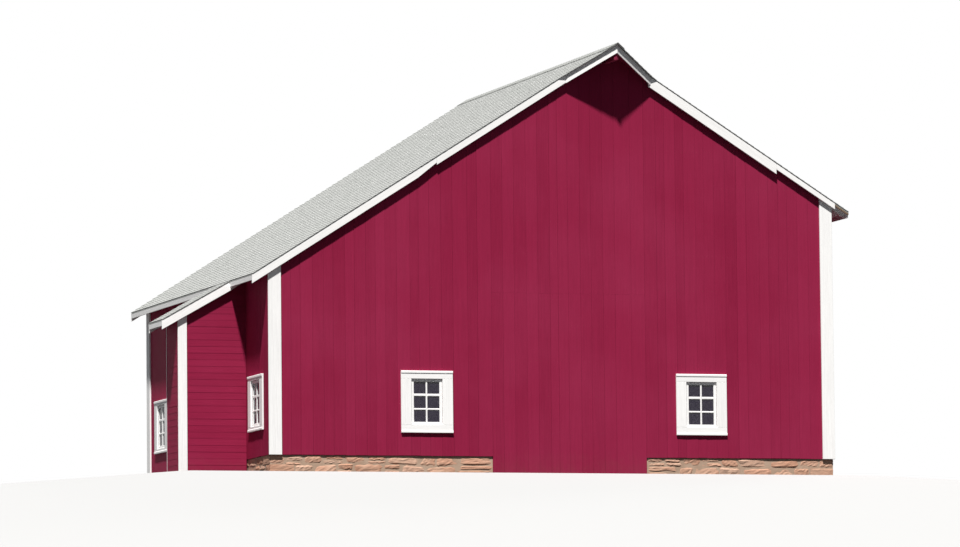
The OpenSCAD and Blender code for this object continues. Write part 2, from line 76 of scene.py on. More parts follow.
FASCIA_LEFT, FASCIA_RIGHT = fascia_low.x, fascia_high.x
rake_low, rake_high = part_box("rake_boards_front")
RAKE_REACH, RAKE_IN = FRONT - rake_low.y, FRONT - rake_high.y
RAKE_T = RAKE_REACH - RAKE_IN
ROOF_FRONT = FRONT - (ROOF_BACK - BACK)
HOOD_OUT = ROOF_FRONT - HOOD_TIP
CORNER_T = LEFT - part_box("corner_boards")[0].x
beam_low, beam_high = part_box("ridge_beam")
closet_low, closet_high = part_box("closet_end_walls")
CLOSET_X, CLOSET_FRONT, CLOSET_BACK = closet_low.x, closet_low.y, closet_high.y
closet_roof_low, closet_roof_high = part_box("closet_roof")
CLOSET_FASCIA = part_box("closet_roof_boards")[0].x
casing_low, casing_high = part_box("gable_window_casings")
side_low, side_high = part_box("side_window_casings")

# Sizes of the trim and windows, in metres. CLOSET_KICK and PANE_TILT are slopes
HOOD_HALF, HOOD_LAP, HOOD_W = 0.860, 0.045, 0.085
RAKE_LEFT_W, RAKE_LEFT_LOW_W, RAKE_TIP_W, RAKE_TAPER = 0.078, 0.092, 0.045, 0.350
RAKE_RIGHT_W, RAKE_RIGHT_LOW_W = 0.124, 0.052
SPLICE_LEFT, SPLICE_RIGHT, SPLICE_GAP, RIDGE_GAP = LEFT + 3.05, LEFT + 9.35, 0.0012, 0.0006
FASCIA_T, FASCIA_H = 0.025, 0.048
FASCIA_JOINTS = FRONT + 2.6, FRONT + 5.7
CORNER_W, CORNER_SIDE_W = 0.23, 0.20
CLOSET_CORNER_W, CLOSET_RAKE, CLOSET_KICK = 0.16, 0.098, 0.065
CLOSET_SILL, CLOSET_HEAD = BASE + 0.2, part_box("plates")[0].z - 1.32
CASING_W, CASING_T = 0.940, 0.028
NOSE_H, NOSE_OUT = 0.045, 0.009
SASH_W, SASH_H, SASH_T, SASH_RAIL = 0.565, 0.800, 0.035, 0.050
MUNTIN, MEETING, BAR_BEVEL = 0.030, 0.042, 0.006
PANE_ROWS, PANE_COLUMNS, PANE_T, PANE_TILT = 3, 2, 0.003, 0.006
SASH_Z = casing_low.z + (casing_high.z - casing_low.z - SASH_H) / 2
SHINGLE_EDGE = 0.020
COVER_V = ROOF_V - SHINGLE_EDGE * SLOPE
gable_windows = [casing_low.x + CASING_W / 2, casing_high.x - CASING_W / 2]
side_windows = [side_low.y + CASING_W / 2, side_high.y - CASING_W / 2]

# The hood's slant, and how far from the ridge its boards meet the rake boards
HOOD_SLANT = HOOD_OUT / HOOD_HALF
HOOD_ALONG = math.hypot(1, HOOD_SLANT)


def hood_run(inset, y):
    """Distance from the ridge at which the hood's edge, drawn in by inset, crosses y."""
    return (y - HOOD_TIP - inset * HOOD_ALONG) / HOOD_SLANT


RAKE_START = hood_run(HOOD_LAP + FASCIA_T, FRONT - RAKE_REACH)


def kicked_up(x):
    """How far the closet's less steep roof lies above the line of the barn's roof."""
    return CLOSET_KICK * max(0.0, EAVE_LEFT - x)


def deck_under(x):
    """Height of the roof boards' underside over x."""
    return RIDGE_Z - RISE * abs(x - RIDGE_X) + kicked_up(x) - ROOF_V


def under_roof(x, drop=0.0):
    """The point a plumb drop below the roof boards over x."""
    return (x, deck_under(x) - drop)


def up_to_roof(x0, x1, foot):
    """The outline in (x, z) of an upright piece from a foot to the roof boards."""
    return [(x0, foot), (x1, foot), under_roof(x1), under_roof(x0)]


def roof_band(x0, x1, top_v, bottom_v):
    """The outline in (x, z) of a band along the roof boards, measured plumb from their underside."""
    return [under_roof(x, v) for x, v in ((x0, bottom_v), (x1, bottom_v), (x1, top_v), (x0, top_v))]


# Materials
class Look:
    """A material's nodes, added call by call."""

    def __init__(self, name, colour, roughness, specular=0.5):
        self.material = bpy.data.materials.new(name)
        self.material.use_nodes = True
        self.tree = self.material.node_tree
        self.shader = self.tree.nodes["Principled BSDF"]
        self.shader.inputs["Base Color"].default_value = (*colour, 1)
        self.shader.inputs["Roughness"].default_value = roughness
        self.shader.inputs["Specular IOR Level"].default_value = specular
        self.material.diffuse_color = (*colour, 1)

    def put(self, socket, value):
        if isinstance(value, bpy.types.NodeSocket):
            self.tree.links.new(value, socket)
        else:
            socket.default_value = value

    def add(self, kind, output, inputs=(), **settings):
        """Adds a node and returns one of its outputs."""
        made = self.tree.nodes.new("ShaderNode" + kind)
        for key, value in settings.items():
            setattr(made, key, value)
        for key, value in dict(inputs).items():
            self.put(made.inputs[key], value)
        return made.outputs[output]

    def attribute(self, name, output):
        return self.add("Attribute", output, attribute_name=name)

    def place(self):
        return self.add("TexCoord", "Object")

    def axis(self, index):
        return self.add("SeparateXYZ", index, {0: self.place()})

    def turned(self, angles):
        return self.add("Mapping", "Vector", {"Vector": self.place(), "Rotation": angles})

    def noise(self, scale, detail, rough=0.5, distortion=0.0, vector=None):
        """Noise on the object's place or on another vector, of one scale or of three."""
        vector = self.place() if vector is None else vector
        if isinstance(scale, tuple):
            vector, scale = self.add("Mapping", "Vector", {"Vector": vector, "Scale": scale}), 1.0
        inputs = {"Vector": vector, "Scale": scale, "Detail": detail, "Roughness": rough}
        return self.add("TexNoise", "Fac", {**inputs, "Distortion": distortion})

    def spread(self, value, low, high, to_low=0.0, to_high=1.0):
        inputs = {"Value": value, "From Min": low, "From Max": high, "To Min": to_low, "To Max": to_high}
        return self.add("MapRange", "Result", inputs)

    def sum(self, a, b, operation="ADD"):
        return self.add("Math", 0, {0: a, 1: b}, operation=operation)

    def mix(self, share, a, b, blend="MIX"):
        a, b = ((*colour, 1) if isinstance(colour, tuple) else colour for colour in (a, b))
        return self.add("Mix", 2, {0: share, 6: a, 7: b}, data_type="RGBA", blend_type=blend)

    def over(self, colour, tint, value, low, high, at_low=0.0, at_high=1.0):
        """The colour under a share of a tint, which goes with a value between low and high."""
        return self.mix(self.spread(value, low, high, at_low, at_high), colour, tint)

    def bump(self, value, distance, strength=1.0, under=None):
        inputs = {"Strength": strength, "Distance": distance, "Height": value}
        return self.add("Bump", "Normal", inputs if under is None else {**inputs, "Normal": under})

    def finished(self, colour, rough=None, normal=None, alpha=None):
        """The material. rough is a value, and the roughness where it is low and where it is high."""
        roughness = rough and self.spread(rough[0], 0.3, 0.7, *rough[1:])
        inputs = {"Base Color": colour, "Roughness": roughness, "Normal": normal, "Alpha": alpha}
        for name, value in inputs.items():
            if value is not None:
                self.put(self.shader.inputs[name], value)
        return self.material


def paint(name, mid, dark, light, worn, grain_depth, specular, dirt, dirt_share, own_grain=True):
    """Matt paint on boards: a tone for each board, streaks along the grain and dirt near the ground."""
    look = Look(name, mid, 0.62, specular)
    if own_grain:
        grain, tone = look.attribute("grain", "Vector"), look.attribute("tone", "Fac")
    else:
        grain, tone = look.turned((0, 0, math.pi / 2)), look.noise(1.6, 2, 0.55)
    streaks = look.noise((46, 1.3, 20), 5, 0.6, 0.4, grain)
    fibres = look.noise((420, 9, 200), 3, 0.6, 0, grain)
    patches = look.noise(0.55, 4, 0.55)
    colour = look.over(dark, light, tone, 0, 1)
    colour = look.over(colour, mid, streaks, 0.35, 0.75, 0, 0.35)
    colour = look.over(colour, worn, patches, 0.40, 0.72, 0, 0.45)
    shade = look.spread(look.sum(streaks, fibres), 0.7, 1.35, 0.86, 1.06)
    grey = look.add("CombineColor", 0, {0: shade, 1: shade, 2: shade})
    colour = look.mix(1.0, colour, grey, "MULTIPLY")
    foot = look.spread(look.axis(2), 0.0, 0.75, 1.0, 0.0)
    splash = look.sum(foot, look.noise(7.0, 5, 0.65), "MULTIPLY")
    colour = look.over(colour, dirt, splash, 0.22, 0.75, 0, dirt_share)
    ridges = look.bump(fibres, grain_depth, 0.7)
    return look.finished(colour, (fibres, 0.52, 0.76), look.bump(streaks, grain_depth * 2.5, 0.5, ridges))


def shingle_look():
    """Weathered pale shingles: a tone for each one, streaks down the slope and lichen."""
    look = Look("weathered_shingles", (0.38, 0.385, 0.375), 0.85, 0.25)
    grain, tone = look.attribute("grain", "Vector"), look.attribute("tone", "Fac")
    streaks = look.noise((60, 4, 30), 4, 0.6, 0, grain)
    fibres = look.noise((520, 24, 200), 3, 0.65, 0, grain)
    stains, lichen = look.noise(0.8, 5, 0.6), look.noise(26, 4, 0.7)
    colour = look.mix(tone, (0.358, 0.365, 0.354), (0.404, 0.410, 0.398))
    colour = look.over(colour, (0.382, 0.388, 0.376), streaks, 0.35, 0.70, 0, 0.5)
    colour = look.over(colour, (0.355, 0.372, 0.350), stains, 0.45, 0.75, 0, 0.35)
    colour = look.over(colour, (0.24, 0.24, 0.23), fibres, 0.42, 0.62, 0.12, 0)
    colour = look.over(colour, (0.44, 0.46, 0.42), lichen, 0.62, 0.74, 0, 0.22)
    return look.finished(colour, (fibres, 0.74, 0.94), look.bump(look.sum(streaks, fibres), 0.0012, 0.6))


def timber_look(name, angles, painted_front=None):
    """Bare hewn timber with its grain turned by given angles, red in front of a given place."""
    look = Look(name, (0.19, 0.12, 0.07), 0.8, 0.3)
    place = look.turned(angles)
    grain = look.noise((1.1, 26, 26), 5, 0.6, 0.6, place)
    fibres = look.noise((7, 260, 260), 3, 0.6, 0, place)
    patches = look.noise(1.4, 3)
    colour = look.over((0.13, 0.080, 0.045), (0.27, 0.185, 0.115), grain, 0.3, 0.7)
    colour = look.over(colour, (0.21, 0.17, 0.125), patches, 0.4, 0.7, 0, 0.5)
    colour = look.over(colour, (0.08, 0.05, 0.03), fibres, 0.40, 0.60, 0.35, 0)
    if painted_front is not None:
        outside = look.sum(look.axis(1), painted_front, "LESS_THAN")
        colour = look.mix(outside, colour, (0.20, 0.010, 0.042))
    return look.finished(colour, (grain, 0.70, 0.90), look.bump(look.sum(grain, fibres), 0.004, 0.7))


def stone_look():
    """Tan and pink rubble with a tone for each stone."""
    look = Look("rubble_stone", (0.55, 0.40, 0.26), 0.9, 0.25)
    tone = look.attribute("tone", "Fac")
    squashed = look.add("Mapping", "Vector", {"Vector": look.place(), "Scale": (1, 1, 3.5)})
    veins = look.noise(9, 5, 0.6, 1.2, squashed)
    grit, patches = look.noise(60, 6, 0.7), look.noise(3.2, 3)
    colour = look.over((0.478, 0.250, 0.165), (0.589, 0.325, 0.223), tone, 0.0, 0.5)
    colour = look.over(colour, (0.570, 0.378, 0.281), tone, 0.5, 1.0)
    colour = look.over(colour, (0.442, 0.237, 0.149), veins, 0.45, 0.70, 0, 0.4)
    colour = look.over(colour, (0.626, 0.439, 0.322), patches, 0.45, 0.70, 0, 0.45)
    colour = look.over(colour, (0.294, 0.176, 0.116), grit, 0.40, 0.60, 0.26, 0)
    rough = look.bump(grit, 0.004, 0.8)
    return look.finished(colour, (grit, 0.80, 0.96), look.bump(veins, 0.010, 0.6, rough))


def mortar_look():
    """Pale lime mortar between and behind the stones."""
    look = Look("lime_mortar", (0.42, 0.34, 0.26), 0.95, 0.2)
    grit, patches = look.noise(110, 5, 0.7), look.noise(5, 4, 0.6)
    colour = look.over((0.423, 0.290, 0.207), (0.534, 0.387, 0.289), patches, 0.35, 0.70)
    colour = look.over(colour, (0.239, 0.158, 0.116), grit, 0.40, 0.62, 0.30, 0)
    return look.finished(colour, None, look.bump(grit, 0.003, 0.8))


def painted_dark_glass_look():
    """Old window glass, wavy and dusty. Its near-black colour and mostly opaque alpha paint the dark inside
    behind it: painted shade.
    """
    look = Look("old_window_glass_painted_dark_inside", (0.012, 0.016, 0.034), 0.06, 0.6)
    wave, dust = look.noise(5.0, 2, 0.4), look.noise(38, 4, 0.6)
    # The near-black base is painted shade of the inside; dust lightens it, and the alpha of 0.66 to 0.80
    # keeps most of it in front of the real inside.
    colour = look.over((0.016, 0.010, 0.028), (0.050, 0.042, 0.066), dust, 0.45, 0.75, 0, 0.5)
    alpha = look.spread(dust, 0.3, 0.8, 0.66, 0.80)
    return look.finished(colour, (dust, 0.04, 0.12), look.bump(wave, 0.012, 0.5), alpha)


def nail_look():
    """Nail heads, painted over and rusting through."""
    look = Look("painted_nail_heads", (0.20, 0.02, 0.04), 0.6, 0.4)
    rust = look.noise(90, 3, 0.6)
    colour = look.over((0.22, 0.016, 0.045), (0.13, 0.045, 0.02), rust, 0.45, 0.6)
    return look.finished(colour, (rust, 0.5, 0.8))


RED_PAINT = paint(
    "red_barn_paint", (0.270, 0.0148, 0.053), (0.250, 0.0132, 0.048), (0.288, 0.0168, 0.058),
    (0.332, 0.0300, 0.084), 0.0012, 0.04, (0.22, 0.06, 0.06), 0.25,
)
WHITE = (
    (0.93, 0.92, 0.91), (0.91, 0.90, 0.89), (0.95, 0.94, 0.93),
    (0.90, 0.88, 0.87), 0.0005, 0.35, (0.55, 0.46, 0.38), 0.20,
)
WHITE_PAINT = paint("white_trim_paint", *WHITE)
LOOKOUT_PAINT = paint("white_lookout_paint", *WHITE, False)
SHINGLES, STONE, MORTAR = shingle_look(), stone_look(), mortar_look()
PAINTED_DARK_GLASS, NAILS = painted_dark_glass_look(), nail_look()
TILT, QUARTER = math.atan(RISE), math.pi / 2
ACROSS = timber_look("timber_across", (0, 0, 0))
LENGTHWAYS = timber_look("timber_lengthways", (0, 0, -QUARTER))
UPRIGHT = timber_look("timber_upright", (0, QUARTER, 0))
RIDGE = timber_look("timber_ridge", (0, 0, -QUARTER), FRONT)
LEFT_SLOPE = timber_look("timber_left_slope", (0, TILT, 0))
RIGHT_SLOPE = timber_look("timber_right_slope", (0, -TILT, 0))


# Mesh building
def placed(name, data):
    made = bpy.data.objects.new(name, data)
    bpy.context.scene.collection.objects.link(made)
    return made


class Maker:
    """Collects small solids into one mesh, with a grain coordinate and a tone on every point."""

    def __init__(self, name, seed):
        self.name = name
        self.random = random.Random(seed)
        self.points, self.faces, self.slots, self.grain, self.tone = [], [], [], [], []

    def solid(self, points, faces, grain, tone, slot=0):
        """Adds a solid. slot is the place of its material in the piece's list."""
        start = len(self.points)
        self.points += [tuple(p) for p in points]
        self.faces += [tuple(start + i for i in face) for face in faces]
        self.slots += [slot] * len(faces)
        self.grain += [tuple(g) for g in grain]
        self.tone += [tone] * len(points)

    def build(self, materials, record_slot, *nodes):
        """The piece, with its materials, standing for the given nodes, which it hides. record_slot is not
        used.
        """
        mesh = bpy.data.meshes.new(self.name)
        mesh.from_pydata(self.points, [], self.faces)
        mesh.polygons.foreach_set("material_index", self.slots)
        grain = mesh.attributes.new("grain", "FLOAT_VECTOR", "POINT")
        grain.data.foreach_set("vector", np.array(self.grain, np.float32).ravel())
        tone = mesh.attributes.new("tone", "FLOAT", "POINT")
        tone.data.foreach_set("value", np.array(self.tone, np.float32))
        mesh.update()
        made = placed(self.name, mesh)
        for material in materials:
            mesh.materials.append(material)
        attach(made, "root")
        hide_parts(*nodes)
        return made


class Face:
    """A wall's plane seen from outside: a runs right, b runs up and depth runs inwards."""

    def __init__(self, origin, right):
        self.origin, self.right, self.up = Vector(origin), Vector(right), Vector((0, 0, 1))
        self.out = self.right.cross(self.up)

    def at(self, a, b, depth=0.0):
        return self.origin + self.right * a + self.up * b - self.out * depth

    def seen(self, outline):
        """An outline in (x, z) as (a, b) of a gable's plane."""
        return [(self.right.x * x, z) for x, z in outline]


FRONT_FACE = Face((0, FRONT, 0), (1, 0, 0))
BACK_FACE = Face((0, BACK, 0), (-1, 0, 0))
LEFT_FACE = Face((LEFT, 0, 0), (0, -1, 0))
RIGHT_FACE = Face((RIGHT, 0, 0), (0, 1, 0))
CLOSET_ENDS = Face((0, CLOSET_FRONT, 0), (1, 0, 0)), Face((0, CLOSET_BACK, 0), (-1, 0, 0))


def moved_in(outline, amount):
    """The outline with every side moved inwards."""
    result = []
    for i, b in enumerate(outline):
        a, c = outline[i - 1], outline[(i + 1) % len(outline)]
        d1, d2 = (Vector(b) - Vector(a)).normalized(), (Vector(c) - Vector(b)).normalized()
        n1, n2 = Vector((-d1.y, d1.x)), Vector((-d2.y, d2.x))
        result.append(Vector(b) + (n1 + n2) * (amount / max(0.2, 1 + n1.dot(n2))))
    return result


def counterclockwise(outline):
    area = sum(a[0] * b[1] - b[0] * a[1] for a, b in zip(outline, outline[1:] + outline[:1]))
    return outline if area > 0 else outline[::-1]


def board(maker, face, outline, depth, thick, bevel=0.003, along=(0, 1), tone=None, lean=None, slot=0):
    """A board in a face's plane: outline in (a, b), its front at depth, its edges bevelled."""
    outline = counterclockwise([tuple(p) for p in outline])
    rng = maker.random
    tone = rng.random() if tone is None else tone
    shift = Vector((rng.uniform(0, 60), rng.uniform(0, 60), rng.uniform(0, 9)))
    along = Vector(along).normalized()
    points, grain, inner, back = [], [], moved_in(outline, bevel), depth + thick
    for ring, level in ((inner, depth), (outline, depth + bevel), (outline, back)):
        for a, b in ring:
            leant = lean(a, b) if lean is not None and level < back else 0.0
            points.append(face.at(a, b, level + leant))
            across = a * along.y - b * along.x
            grain.append((across + shift.x, a * along.x + b * along.y + shift.y, level + shift.z))
    n = len(outline)
    faces = [tuple(range(n)), tuple(range(3 * n - 1, 2 * n - 1, -1))]
    for i in range(n):
        j = (i + 1) % n
        faces += [(n + i, n + j, j, i), (2 * n + i, 2 * n + j, n + j, n + i)]
    maker.solid(points, faces, grain, tone, slot)


def box_outline(a0, b0, a1, b1):
    return [(a0, b0), (a1, b0), (a1, b1), (a0, b1)]


def clipped(outline, keep):
    """The part of a convex outline where keep is positive."""
    result = []
    for p, q in zip(outline, outline[1:] + outline[:1]):
        vp, vq = keep(*p), keep(*q)
        if vp >= 0:
            result.append(p)
        if (vp >= 0) != (vq >= 0):
            t = vp / (vp - vq)
            result.append((p[0] + (q[0] - p[0]) * t, p[1] + (q[1] - p[1]) * t))
    return result


def profile(maker, face, section, a0, a1):
    """A moulding: a section in (depth, b) run from a0 to a1."""
    tone, shift = maker.random.random(), maker.random.uniform(0, 50)
    section = counterclockwise(section)
    points = [face.at(a, b, d) for a in (a0, a1) for d, b in section]
    grain = [(b + d + shift, a + shift, d) for a in (a0, a1) for d, b in section]
    n = len(section)
    faces = [tuple(range(n)), tuple(range(2 * n - 1, n - 1, -1))]
    faces += [(i, n + i, n + (i + 1) % n, (i + 1) % n) for i in range(n)]
    maker.solid(points, faces, grain, tone)


def hexahedron(maker, corners, grain, tone, slot=0):
    """A solid of eight corners: four round the low face, then the four above them."""
    faces = [(0, 3, 2, 1), (4, 5, 6, 7), (0, 1, 5, 4), (1, 2, 6, 5), (2, 3, 7, 6), (3, 0, 4, 7)]
    a, b, d = corners[1] - corners[0], corners[3] - corners[0], corners[4] - corners[0]
    if a.cross(b).dot(d) < 0:
        faces = [face[::-1] for face in faces]
    maker.solid(corners, faces, grain, tone, slot)


def soften(made, width):
    """Rounds a piece's edges a little."""
    made.modifiers.new("weld", "WELD").merge_threshold = 0.0001
    bevel = made.modifiers.new("bevel", "BEVEL")
    bevel.width, bevel.segments, bevel.limit_method = width, 2, "ANGLE"
    bevel.angle_limit = math.radians(35)


# Walls. NAIL_SHARE is how far nails are off a board's middle, as a share of its width
BOARD_WIDTHS, BOARD_SPREAD, BOARD_T = (0.17, 0.24), (0.78, 1.22), 0.019
SEAM, RAGGED, CUP, SHORTEST = 0.002, 0.006, 0.0022, 0.01
NAIL_R, NAIL_H, NAIL_SIDES, NAIL_SHARE, NAIL_END = 0.0055, 0.0016, 6, 0.28, 0.03
NAIL_ROWS = (BASE + 0.10, 1.28, 2.01, 2.64, 3.28, 3.90, 4.47, 5.10, 5.75, 6.35)
DOOR_NAIL_ROWS = (0.14, 0.75, 1.40, 2.01, 2.64, 3.10)


def board_edges(low, high, stops, seed):
    """Board edges from low to high, with an edge at each stop and random widths between."""
    rng = random.Random(seed)
    edges = [low]
    for stop in sorted(s for s in stops if low < s < high) + [high]:
        start, length, reached = edges[-1], stop - edges[-1], 0.0
        count = max(1, round(length / rng.uniform(*BOARD_WIDTHS)))
        parts = [rng.uniform(*BOARD_SPREAD) for _ in range(count)]
        for part in parts[:-1]:
            reached += part
            edges.append(start + length * reached / sum(parts))
        edges.append(stop)
    return edges


# Half the width of the board notched for the ridge beam, and the edges of the boards beside it
KEY = 0.11
DOOR_LEFT = board_edges(door_low.x, RIDGE_X - KEY, (), 5)
DOOR_RIGHT = board_edges(RIDGE_X + KEY, door_high.x, (), 6)


def nail(maker, face, a, b, depth):
    """A low domed nail head."""
    turns = [2 * math.pi * k / NAIL_SIDES for k in range(NAIL_SIDES)]
    ring = [(a + NAIL_R * math.cos(turn), b + NAIL_R * math.sin(turn)) for turn in turns]
    points = [face.at(u, v, depth + 0.001) for u, v in ring] + [face.at(a, b, depth - NAIL_H)]
    faces = [(k, (k + 1) % NAIL_SIDES, NAIL_SIDES) for k in range(NAIL_SIDES)]
    faces.append(tuple(range(NAIL_SIDES - 1, -1, -1)))
    maker.solid(points, faces, [(u, v, 0) for u, v in ring] + [(a, b, 0)], 0.5, 1)


def board_habit(a0, a1):
    """The tone of the wall board between two edges, and how far its face leans back at a point."""
    own = random.Random(round(a0 * 1000))
    tone, cup, proud = own.random(), own.uniform(-CUP, CUP), own.uniform(0.0, CUP)
    return tone, lambda a, b: proud + abs(cup) + cup * (a - (a0 + a1) / 2) / (a1 - a0) * 2


def upright_boards(maker, face, edges, foot, top, holes=(), rows=NAIL_ROWS, ragged=RAGGED):
    """Upright boards with open seams over a solid backing. Holes are (a0, b0, a1, b1) between stops."""
    rng = maker.random
    for a0, a1 in zip(edges, edges[1:]):
        middle = (a0 + a1) / 2
        hole = next((h for h in holes if h[0] < middle < h[2]), None)
        tone, lean = board_habit(a0, a1)
        for b0, b1 in [(foot, hole[1]), (hole[3], None)] if hole else [(foot, None)]:
            low = b0 + (rng.uniform(0, ragged) if b0 == foot else 0.0)
            t0, t1 = (top(a0), top(a1)) if b1 is None else (b1, b1)
            if min(t0, t1) - b0 < SHORTEST:
                continue
            half = SEAM / 2
            outline = [(a0 + half, low), (a1 - half, low), (a1 - half, t1), (a0 + half, t0)]
            board(maker, face, outline, 0.0, BOARD_T, 0.001, (0, 1), tone, lean)
            # The backing shows only through the open seams and takes the paint's darkest tone (0.0): a
            # slight painted shade in the seams.
            backing = [(a0, b0), (a1, b0), (a1, t1), (a0, t0)]
            board(maker, face, backing, BOARD_T, WALL_T - BOARD_T, 0.0005, (0, 1), 0.0)
            for row in rows:
                if b0 + NAIL_END < row < min(t0, t1) - NAIL_END:
                    for side in (-1, 1):
                        a = middle + side * (a1 - a0) * NAIL_SHARE + rng.uniform(-0.01, 0.01)
                        nail(maker, face, a, row + rng.uniform(-0.012, 0.012), lean(a, row))


def window_holes(centres):
    return [(c - SASH_W / 2, SASH_Z, c + SASH_W / 2, SASH_Z + SASH_H) for c in centres]


def hole_stops(holes):
    return [h[i] for h in holes for i in (0, 2)]


def front_siding():
    maker = Maker("front_siding", 11)
    holes = window_holes(gable_windows)
    for low, high, seed in ((LEFT, door_low.x, 7), (door_high.x, RIGHT, 8)):
        edges = board_edges(low, high, hole_stops(holes), seed)
        upright_boards(maker, FRONT_FACE, edges, BASE, deck_under, holes)
    for edges in (DOOR_LEFT, DOOR_RIGHT):
        upright_boards(maker, FRONT_FACE, edges, door_high.z, deck_under, ragged=0)
    half = (beam_high.x - beam_low.x) / 2
    x0, x1, beam0, beam1 = RIDGE_X - KEY, RIDGE_X + KEY, RIDGE_X - half, RIDGE_X + half
    notched = [
        (x0, door_high.z), (x1, door_high.z), under_roof(x1), under_roof(beam1),
        (beam1, beam_low.z), (beam0, beam_low.z), under_roof(beam0), under_roof(x0),
    ]
    board(maker, FRONT_FACE, notched, 0.0, WALL_T, 0.001, (0, 1), *board_habit(x0, x1))
    maker.build([RED_PAINT, NAILS], "siding", "front_wall")


def doorway_siding():
    maker = Maker("doorway_siding", 12)
    head = door_high.z - 0.0006
    upright_boards(maker, FRONT_FACE, DOOR_LEFT + DOOR_RIGHT, 0.0, lambda x: head, rows=DOOR_NAIL_ROWS)
    maker.build([RED_PAINT, NAILS], "siding", "doorway_boarding")


def other_siding():
    hole_low, hole_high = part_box("left_wall_closet")
    closet_hole = (-hole_high.y, CLOSET_SILL, -hole_low.y, CLOSET_HEAD)
    mirror = lambda values: [-value for value in values]
    inner = FRONT + WALL_T, BACK - WALL_T
    left_nodes = ("left_wall_front", "left_wall_back", "left_wall_closet")
    for name, seed, face, ends, stops, centres, extra, edge_seed, top, nodes in (
        ("back_siding", 13, BACK_FACE, (-RIGHT, -LEFT), [-RIDGE_X], mirror(gable_windows), [], 9,
         lambda a: deck_under(-a), ("back_wall",)),
        ("left_siding", 14, LEFT_FACE, (-inner[1], -inner[0]), [], mirror(side_windows), [closet_hole], 10,
         lambda a: deck_under(LEFT), left_nodes),
        ("right_siding", 15, RIGHT_FACE, inner, [], side_windows, [], 16,
         lambda a: deck_under(RIGHT), ("right_wall",)),
    ):
        maker = Maker(name, seed)
        holes = window_holes(centres) + extra
        edges = board_edges(*ends, stops + hole_stops(holes), edge_seed)
        upright_boards(maker, face, edges, BASE, top, holes)
        maker.build([RED_PAINT, NAILS], "siding", *nodes)


CLAP, CLAP_T, CLAP_LEAN, CLAP_BACK = 0.115, 0.016, 0.0022, 0.024


def clapboards(maker, face, shape, top):
    """Level clapboards over a shape, each with its lower edge proud, cut under the line of top."""
    board(maker, face, shape, CLAP_BACK, WALL_T - CLAP_BACK, 0.0005, (1, 0), 0.0)
    a0, a1, highest = min(a for a, b in shape), max(a for a, b in shape), max(b for a, b in shape)
    for k in range(math.ceil(highest / CLAP)):
        course = clipped(box_outline(a0, k * CLAP, a1, (k + 1) * CLAP), lambda a, b: top(a) - b)
        proud = maker.random.uniform(0, 0.0015)
        lean = lambda a, b: proud + CLAP_LEAN * (b - k * CLAP) / CLAP
        if len(course) >= 3:
            board(maker, face, course, 0.0, CLAP_T, 0.0015, (1, 0), None, lean)


def closet_siding():
    maker = Maker("closet_end_siding", 21)
    for face in CLOSET_ENDS:
        shape = face.seen(up_to_roof(CLOSET_X, LEFT, 0))
        clapboards(maker, face, shape, lambda a: deck_under(face.right.x * a))
    maker.build([RED_PAINT, NAILS], "siding", "closet_end_walls")
    maker = Maker("closet_side_siding", 22)
    side = Face((CLOSET_X, 0, 0), (0, -1, 0))
    top = deck_under(CLOSET_X)
    shape = box_outline(WALL_T - CLOSET_BACK, 0, -(CLOSET_FRONT + WALL_T), top)
    clapboards(maker, side, shape, lambda a: top)
    maker.build([RED_PAINT, NAILS], "siding", "closet_side_wall")


# Trim
def rake_pieces(half_gap):
    """The four boards of a rake, each reaching up over the ends of the roof boards."""
    low_end, foot = SPLICE_LEFT - SPLICE_GAP, RAKE_LEFT_LOW_W * SLOPE
    low = [
        under_roof(FASCIA_LEFT, foot), under_roof(SPLICE_LEFT - RAKE_TAPER, foot),
        (low_end, deck_under(SPLICE_LEFT) - RAKE_TIP_W * SLOPE),
        under_roof(low_end, -COVER_V), under_roof(FASCIA_LEFT, -COVER_V),
    ]
    return [
        low,
        roof_band(SPLICE_LEFT + SPLICE_GAP, RIDGE_X - half_gap, -COVER_V, RAKE_LEFT_W * SLOPE),
        roof_band(RIDGE_X + half_gap, SPLICE_RIGHT - SPLICE_GAP, -COVER_V, RAKE_RIGHT_W * SLOPE),
        roof_band(SPLICE_RIGHT + SPLICE_GAP, rake_high.x, -COVER_V, RAKE_RIGHT_LOW_W * SLOPE),
    ]


def rake_boards():
    for name, node, face, half_gap, seed in (
        ("front_rake_boards", "rake_boards_front", FRONT_FACE, RAKE_START, 31),
        ("back_rake_boards", "rake_boards_back", BACK_FACE, RIDGE_GAP, 32),
    ):
        maker = Maker(name, seed)
        for k, outline in enumerate(rake_pieces(half_gap)):
            along = (face.right.x, RISE if k < 2 else -RISE)
            board(maker, face, face.seen(outline), -RAKE_REACH, RAKE_T, 0.003, along)
        maker.build([WHITE_PAINT], "trim", node)


def plan_front(x):
    """The roof's front edge over x, with the hood's point."""
    return min(HOOD_TIP + HOOD_SLANT * abs(x - RIDGE_X), ROOF_FRONT)


def hood_edge_boards():
    """Two boards under the hood's edges, mitred at the point."""
    maker = Maker("hood_edge_boards", 33)
    end = FRONT - RAKE_REACH
    for side in (-1, 1):
        outer, inner = (
            [(RIDGE_X, HOOD_TIP + inset * HOOD_ALONG), (RIDGE_X + side * hood_run(inset, end), end)]
            for inset in (HOOD_LAP, HOOD_LAP + FASCIA_T)
        )
        low = outer + inner[::-1]
        corners = [Vector((x, y, deck_under(x) - HOOD_W * SLOPE)) for x, y in low]
        corners += [Vector((x, y, deck_under(x) + COVER_V)) for x, y in low]
        grain = [(c.z + RISE * abs(c.x - RIDGE_X), (c.x - RIDGE_X) * side, c.y) for c in corners]
        hexahedron(maker, corners, grain, maker.random.random())
    soften(maker.build([WHITE_PAINT], "trim", "hood_boards"), 0.003)


